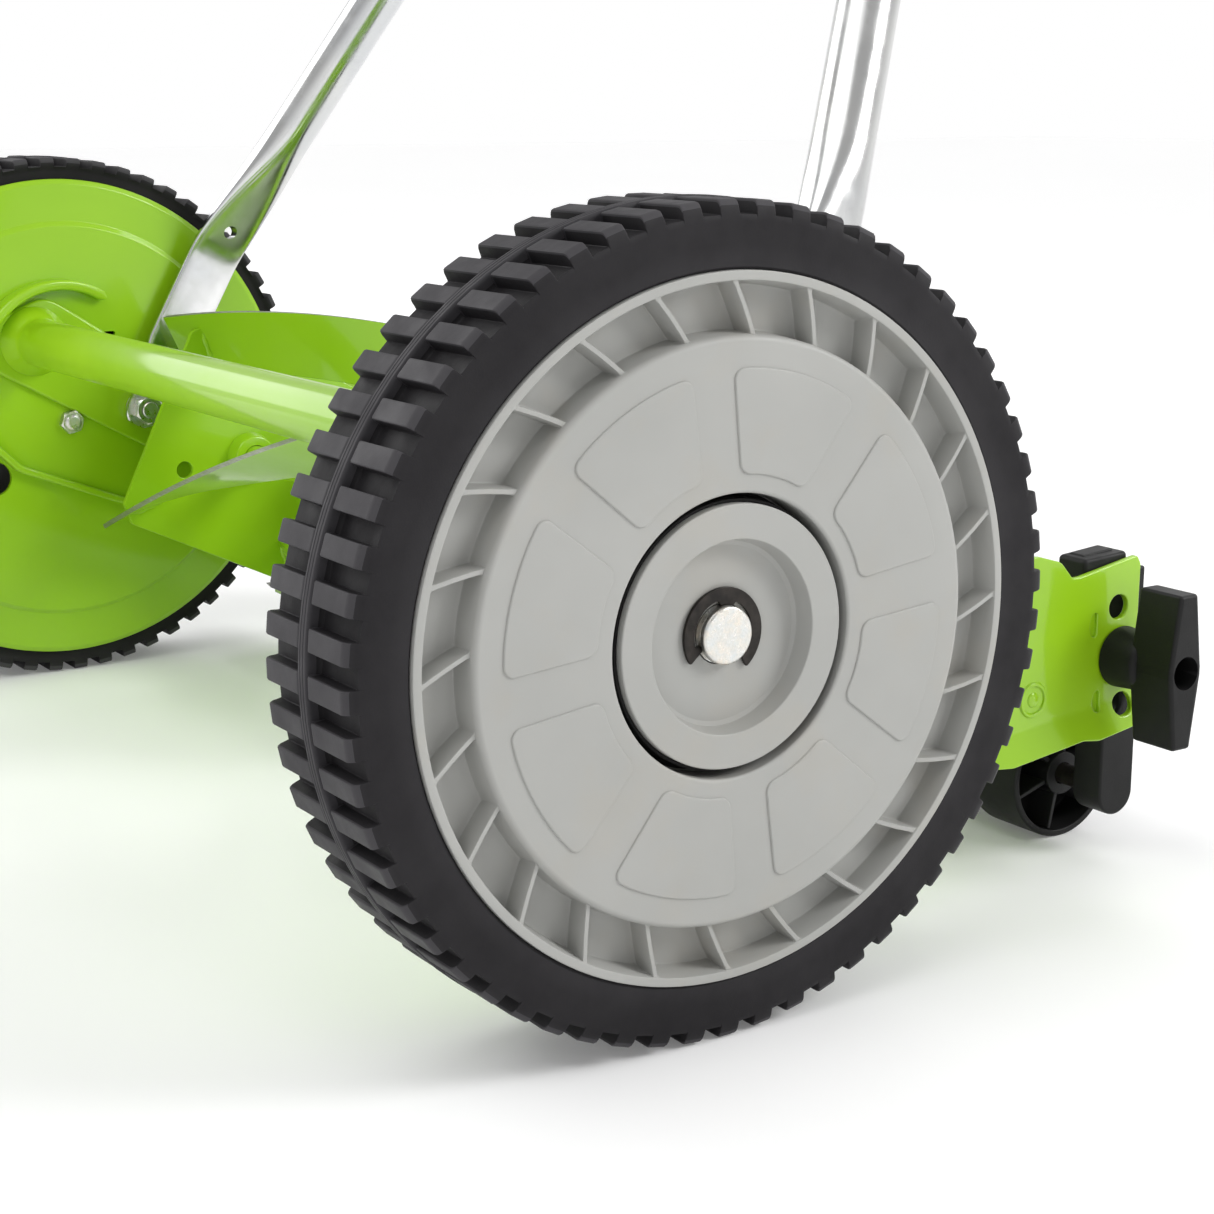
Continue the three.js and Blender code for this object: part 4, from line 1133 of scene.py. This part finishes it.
def handle_tube(path, count=48):
    """A tube through (x, distance along the handle, half width, half thickness, squareness) points."""
    points = [on_handle(p[0], p[1]) for p in path]
    stations = []
    for i, centre in enumerate(points):
        tangent = (points[min(i + 1, len(points) - 1)] - points[max(i - 1, 0)]).normalized()
        stations.append((centre, ACROSS, ACROSS.cross(tangent).normalized(), *path[i][2:]))
    return lofted(stations, count)


def round_at(x, along, r=TUBE_R):
    """A point of handle_tube's path where the tube is round."""
    return x, along, r, r, 2


def eased(a, b, t):
    t = min(max(t, 0), 1)
    return a + (b - a) * t * t * (3 - 2 * t)


def lower_tube():
    """A round tube pressed flat at its lower end, bent inwards above the flat and again at the top."""
    def lean_x(along):
        soft = 8
        d = along - BEND_REACH
        if d <= -soft:
            return STRIP_X
        if d < soft:
            return STRIP_X - math.tan(LEAN) * (d + soft) ** 2 / (4 * soft)
        return STRIP_X - math.tan(LEAN) * d

    flat = [
        (-9.0, 3.6, 1.2, 3), (-8.6, 5.2, 1.7, 3), (-6.8, 6.8, 1.9, 4), (-3, 8.1, 1.9, 5), (8, 8.6, 1.9, 5),
        (20, 10.6, 1.9, 5), (34, STRIP_HALF, 1.9, 5), (66, STRIP_HALF, 1.95, 5),
    ]
    path = [(STRIP_X, *point) for point in flat]
    for k in range(18):
        along = 76 + 5.0 * k
        t = (along - 84) / 72
        wide, thick, square = eased(STRIP_HALF, TUBE_R, t * 1.1), eased(2.0, TUBE_R, t), 2 + eased(3, 0, t)
        path.append((lean_x(along), along, wide, thick, square))
    top = LOWER_TOP_REACH
    path.append(round_at(lean_x(top - 30), top - 30))
    for d in range(-18, 19, 6):
        path.append(round_at(LOWER_TOP_X + math.tan(LEAN) * (18 - d) ** 2 / 72, top + d))
    path.append(round_at(LOWER_TOP_X, FOLD_REACH))
    path += [round_at(LOWER_TOP_X, FOLD_REACH + over, TUBE_R - cut) for over, cut in TUBE_END]
    tube = handle_tube(path)
    x, y, z = on_handle(lean_x(HOLE_REACH), HOLE_REACH)
    return carved(tube, pin(x - 30, x + 30, 3.1, (y, z)), pin(STRIP_X - 9, STRIP_X + 9, 4.4, HANDLE))


def upper_tube():
    bend_r = 40
    end = reach("upper_tube_left")[1]
    path = [round_at(UPPER_X, FOLD_REACH - over, TUBE_R - cut) for over, cut in reversed(TUBE_END)]
    path.append(round_at(UPPER_X, FOLD_REACH + 100))
    for k in range(13):
        angle = math.pi / 2 * k / 12
        x = UPPER_X + bend_r * (1 - math.cos(angle))
        path.append(round_at(x, GRIP_REACH - bend_r * (1 - math.sin(angle))))
    path.append(round_at(end, GRIP_REACH))
    return handle_tube(path)


def foam_grip():
    low, high = reach("foam_grip_left")
    profile = [(high, 0), (high, 12, 3), (high - 2, 15.5, 3)]
    steps = 40
    for k in range(steps + 1):
        t = k / steps
        swell = 0.25 * math.sin(t * math.pi * 9)
        profile.append((high - 8 + (low + 10 - high + 2) * t, 15.2 + swell))
    profile += [(low + 2, 15.2, 1.5), (low, 13.6, 1), (low, 11.3), (high - 5, 11.3), (high - 5, 0)]
    return lathe(profile, GRIP, 48)


def handle_bolt():
    return together(
        nut(PLATE + THICK + 1.4, PLATE + THICK + 6.2, 13, 0, HANDLE, 10),
        thread(STRIP_X - 10, PLATE + THICK + 2, 4.1, HANDLE),
        washer(PLATE + THICK + 0.2, PLATE + THICK + 1.5, 4.3, 8.4, HANDLE),
        washer(STRIP_X + 2.2, PLATE - 0.4, 4.3, 8.0, HANDLE),
    )


def handle_nut():
    inner = STRIP_X - 1.9
    return together(
        nut(inner - 7.4, inner - 1.7, 13, 4.2, HANDLE, 20),
        washer(inner - 1.8, inner - 0.3, 4.3, 9.2, HANDLE),
    )


def fold_bolt():
    low, high = reach("fold_bolt")
    head = lathe([(low, 0), (low, 5, 2), (low + 4.6, 8.6, 1), (low + 4.9, 0)], FOLD, 40)
    return together(head, thread(low + 4, high, 4, FOLD))


def fold_knob():
    """A six-lobed hand knob on a collar."""
    low, high = reach("fold_knob")
    count = 96
    outline = []
    for i in range(count):
        angle = 360 * i / count
        outline.append(polar(16 + 1.9 * math.cos(math.radians(6 * angle)), angle, *FOLD))
    star = slab(outline, low + 6, high, edge=2.2, steps=5)
    collar = lathe([(low, 4.4), (low, 9, 0.6), (low + 7, 9.4, 1), (low + 7, 4.4)], FOLD, 40, 3)
    button = lathe([(high - 1, 0), (high - 1, 8.5), (high + 0.8, 8, 0.6), (high + 0.8, 0)], FOLD, 40, 3)
    return together(star, collar, button)


def spacers():
    """Plastic saddles between the tubes at the fold."""
    low, high = UPPER_X + TUBE_R + 0.1, LOWER_TOP_X - TUBE_R - 0.1
    gaps = [sorted(gap) for gap in ((-1.2, 1.2), (low, high), (-high, -low))]
    return together(*[washer(*gap, 4.4, 9, FOLD) for gap in gaps])


def build_handle():
    both_sides("lower_tube", lower_tube(), "lower_handle", CHROME, 40)
    both_sides("upper_tube", upper_tube(), "upper_handle", CHROME)
    both_sides("foam_grip", foam_grip(), "upper_handle", FOAM)
    both_sides("handle_bolt", handle_bolt(), "frame", ZINC)
    both_sides("handle_nut", handle_nut(), "frame", ZINC)
    finished("fold_bolt", fold_bolt(), "lower_handle", ZINC)
    finished("fold_spacers", spacers(), "lower_handle", BLACK, replaced=False)
    finished("fold_knob", fold_knob(), "fold_knob", BLACK)


# ---- Hidden gears keep their CAD shape ----


def dress_cad_nodes():
    looks = {"ring_gear": GEAR, "pinion": DARK, "pawl_key": DARK}
    for stem, look in looks.items():
        for side in SIDES:
            node = frame["nodes"][f"{stem}_{side}"]
            node.data.materials.clear()
            node.data.materials.append(look)


# ---- Stage ----

VIEW_YAW = 33.6586          # degrees from -X towards +Y
VIEW_PITCH = 12.8149        # degrees below the horizon
VIEW_FROM = (508.889, -383.288, 153.816)   # from the middle of the left rim's face
LENS = 66.19


def camera():
    yaw, pitch = math.radians(VIEW_YAW), math.radians(VIEW_PITCH)
    ahead = Vector((-math.cos(yaw) * math.cos(pitch), math.sin(yaw) * math.cos(pitch), -math.sin(pitch)))
    right = ahead.cross(Vector((0, 0, 1))).normalized()
    up = right.cross(ahead)
    data = bpy.data.cameras.new("camera")
    data.lens = LENS
    data.sensor_width = 36
    made = linked("camera", data)
    turn = Matrix((right, up, -ahead)).transposed().to_4x4()
    at = Vector(VIEW_FROM) + Vector((FACE, 0, 0))
    made.matrix_world = Matrix.Translation(to_row(at)) @ turn
    bpy.context.scene.camera = made


def soft_light(name, at, aim, size, power):
    data = bpy.data.lights.new(name, "AREA")
    data.shape = "RECTANGLE"
    data.size, data.size_y = size
    data.energy = power
    made = linked(name, data)
    made.location = at
    made.rotation_euler = (Vector(aim) - Vector(at)).to_track_quat("-Z", "Y").to_euler()


def floor():
    bm = bmesh.new()
    half, count = 12.0, 24
    bmesh.ops.create_grid(bm, x_segments=count, y_segments=count, size=half)
    made = to_object("floor", bm)
    look = Surface("pale_floor", Specular_IOR_Level=0.2)
    colour = look.mixed(look.noise(0.6, 2), (0.85, 0.85, 0.85), (0.87, 0.87, 0.87))
    distance = look.node("ShaderNodeVectorMath", {"operation": "LENGTH"}, {0: look.place}).outputs["Value"]
    glow = look.mixed(look.remapped(distance, 0.5, 3.0), (0.12, 0.12, 0.12), (0.52, 0.52, 0.52))
    look.tree.links.new(glow, look.shader.inputs["Emission Color"])
    look.shader.inputs["Emission Strength"].default_value = 1.0
    made.data.materials.append(look.done(colour, look.noise(2, 2), 0.6, 0.7))


def world():
    made = bpy.data.worlds.new("studio")
    made.use_nodes = True
    tree = made.node_tree
    coordinates = tree.nodes.new("ShaderNodeTexCoord")
    split = tree.nodes.new("ShaderNodeSeparateXYZ")
    ramp = tree.nodes.new("ShaderNodeValToRGB")
    for stop, position, grey in zip(ramp.color_ramp.elements, (0.05, 0.35), (1, 0.5)):
        stop.position = position
        stop.color = (grey, grey, grey, 1)
    tree.links.new(coordinates.outputs["Generated"], split.inputs[0])
    tree.links.new(split.outputs["Z"], ramp.inputs[0])
    background = tree.nodes["Background"]
    tree.links.new(ramp.outputs[0], background.inputs["Color"])
    background.inputs["Strength"].default_value = 1.0
    bpy.context.scene.world = made


def build_stage():
    camera()
    floor()
    world()
    soft_light("key_softbox", (0.3, -1.4, 2.1), (0, 0, 0.15), (2.2, 1.5), 20)
    soft_light("left_softbox", (1.5, 1.3, 1.3), (0.25, 0, 0.15), (0.9, 0.8), 30)
    soft_light("right_softbox", (-1.83, -1.0, 1.1), (0, -0.2, 0.16), (1.9, 1.6), 20)
    soft_light("rear_softbox", (-0.8, 1.8, 1.9), (0, 0, 0.2), (1.4, 1.0), 14)
    bpy.context.scene.view_settings.view_transform = "Standard"


build_wheels()
build_frame()
build_reel()
build_bedknife()
build_height_parts()
build_handle()
dress_cad_nodes()
build_stage()
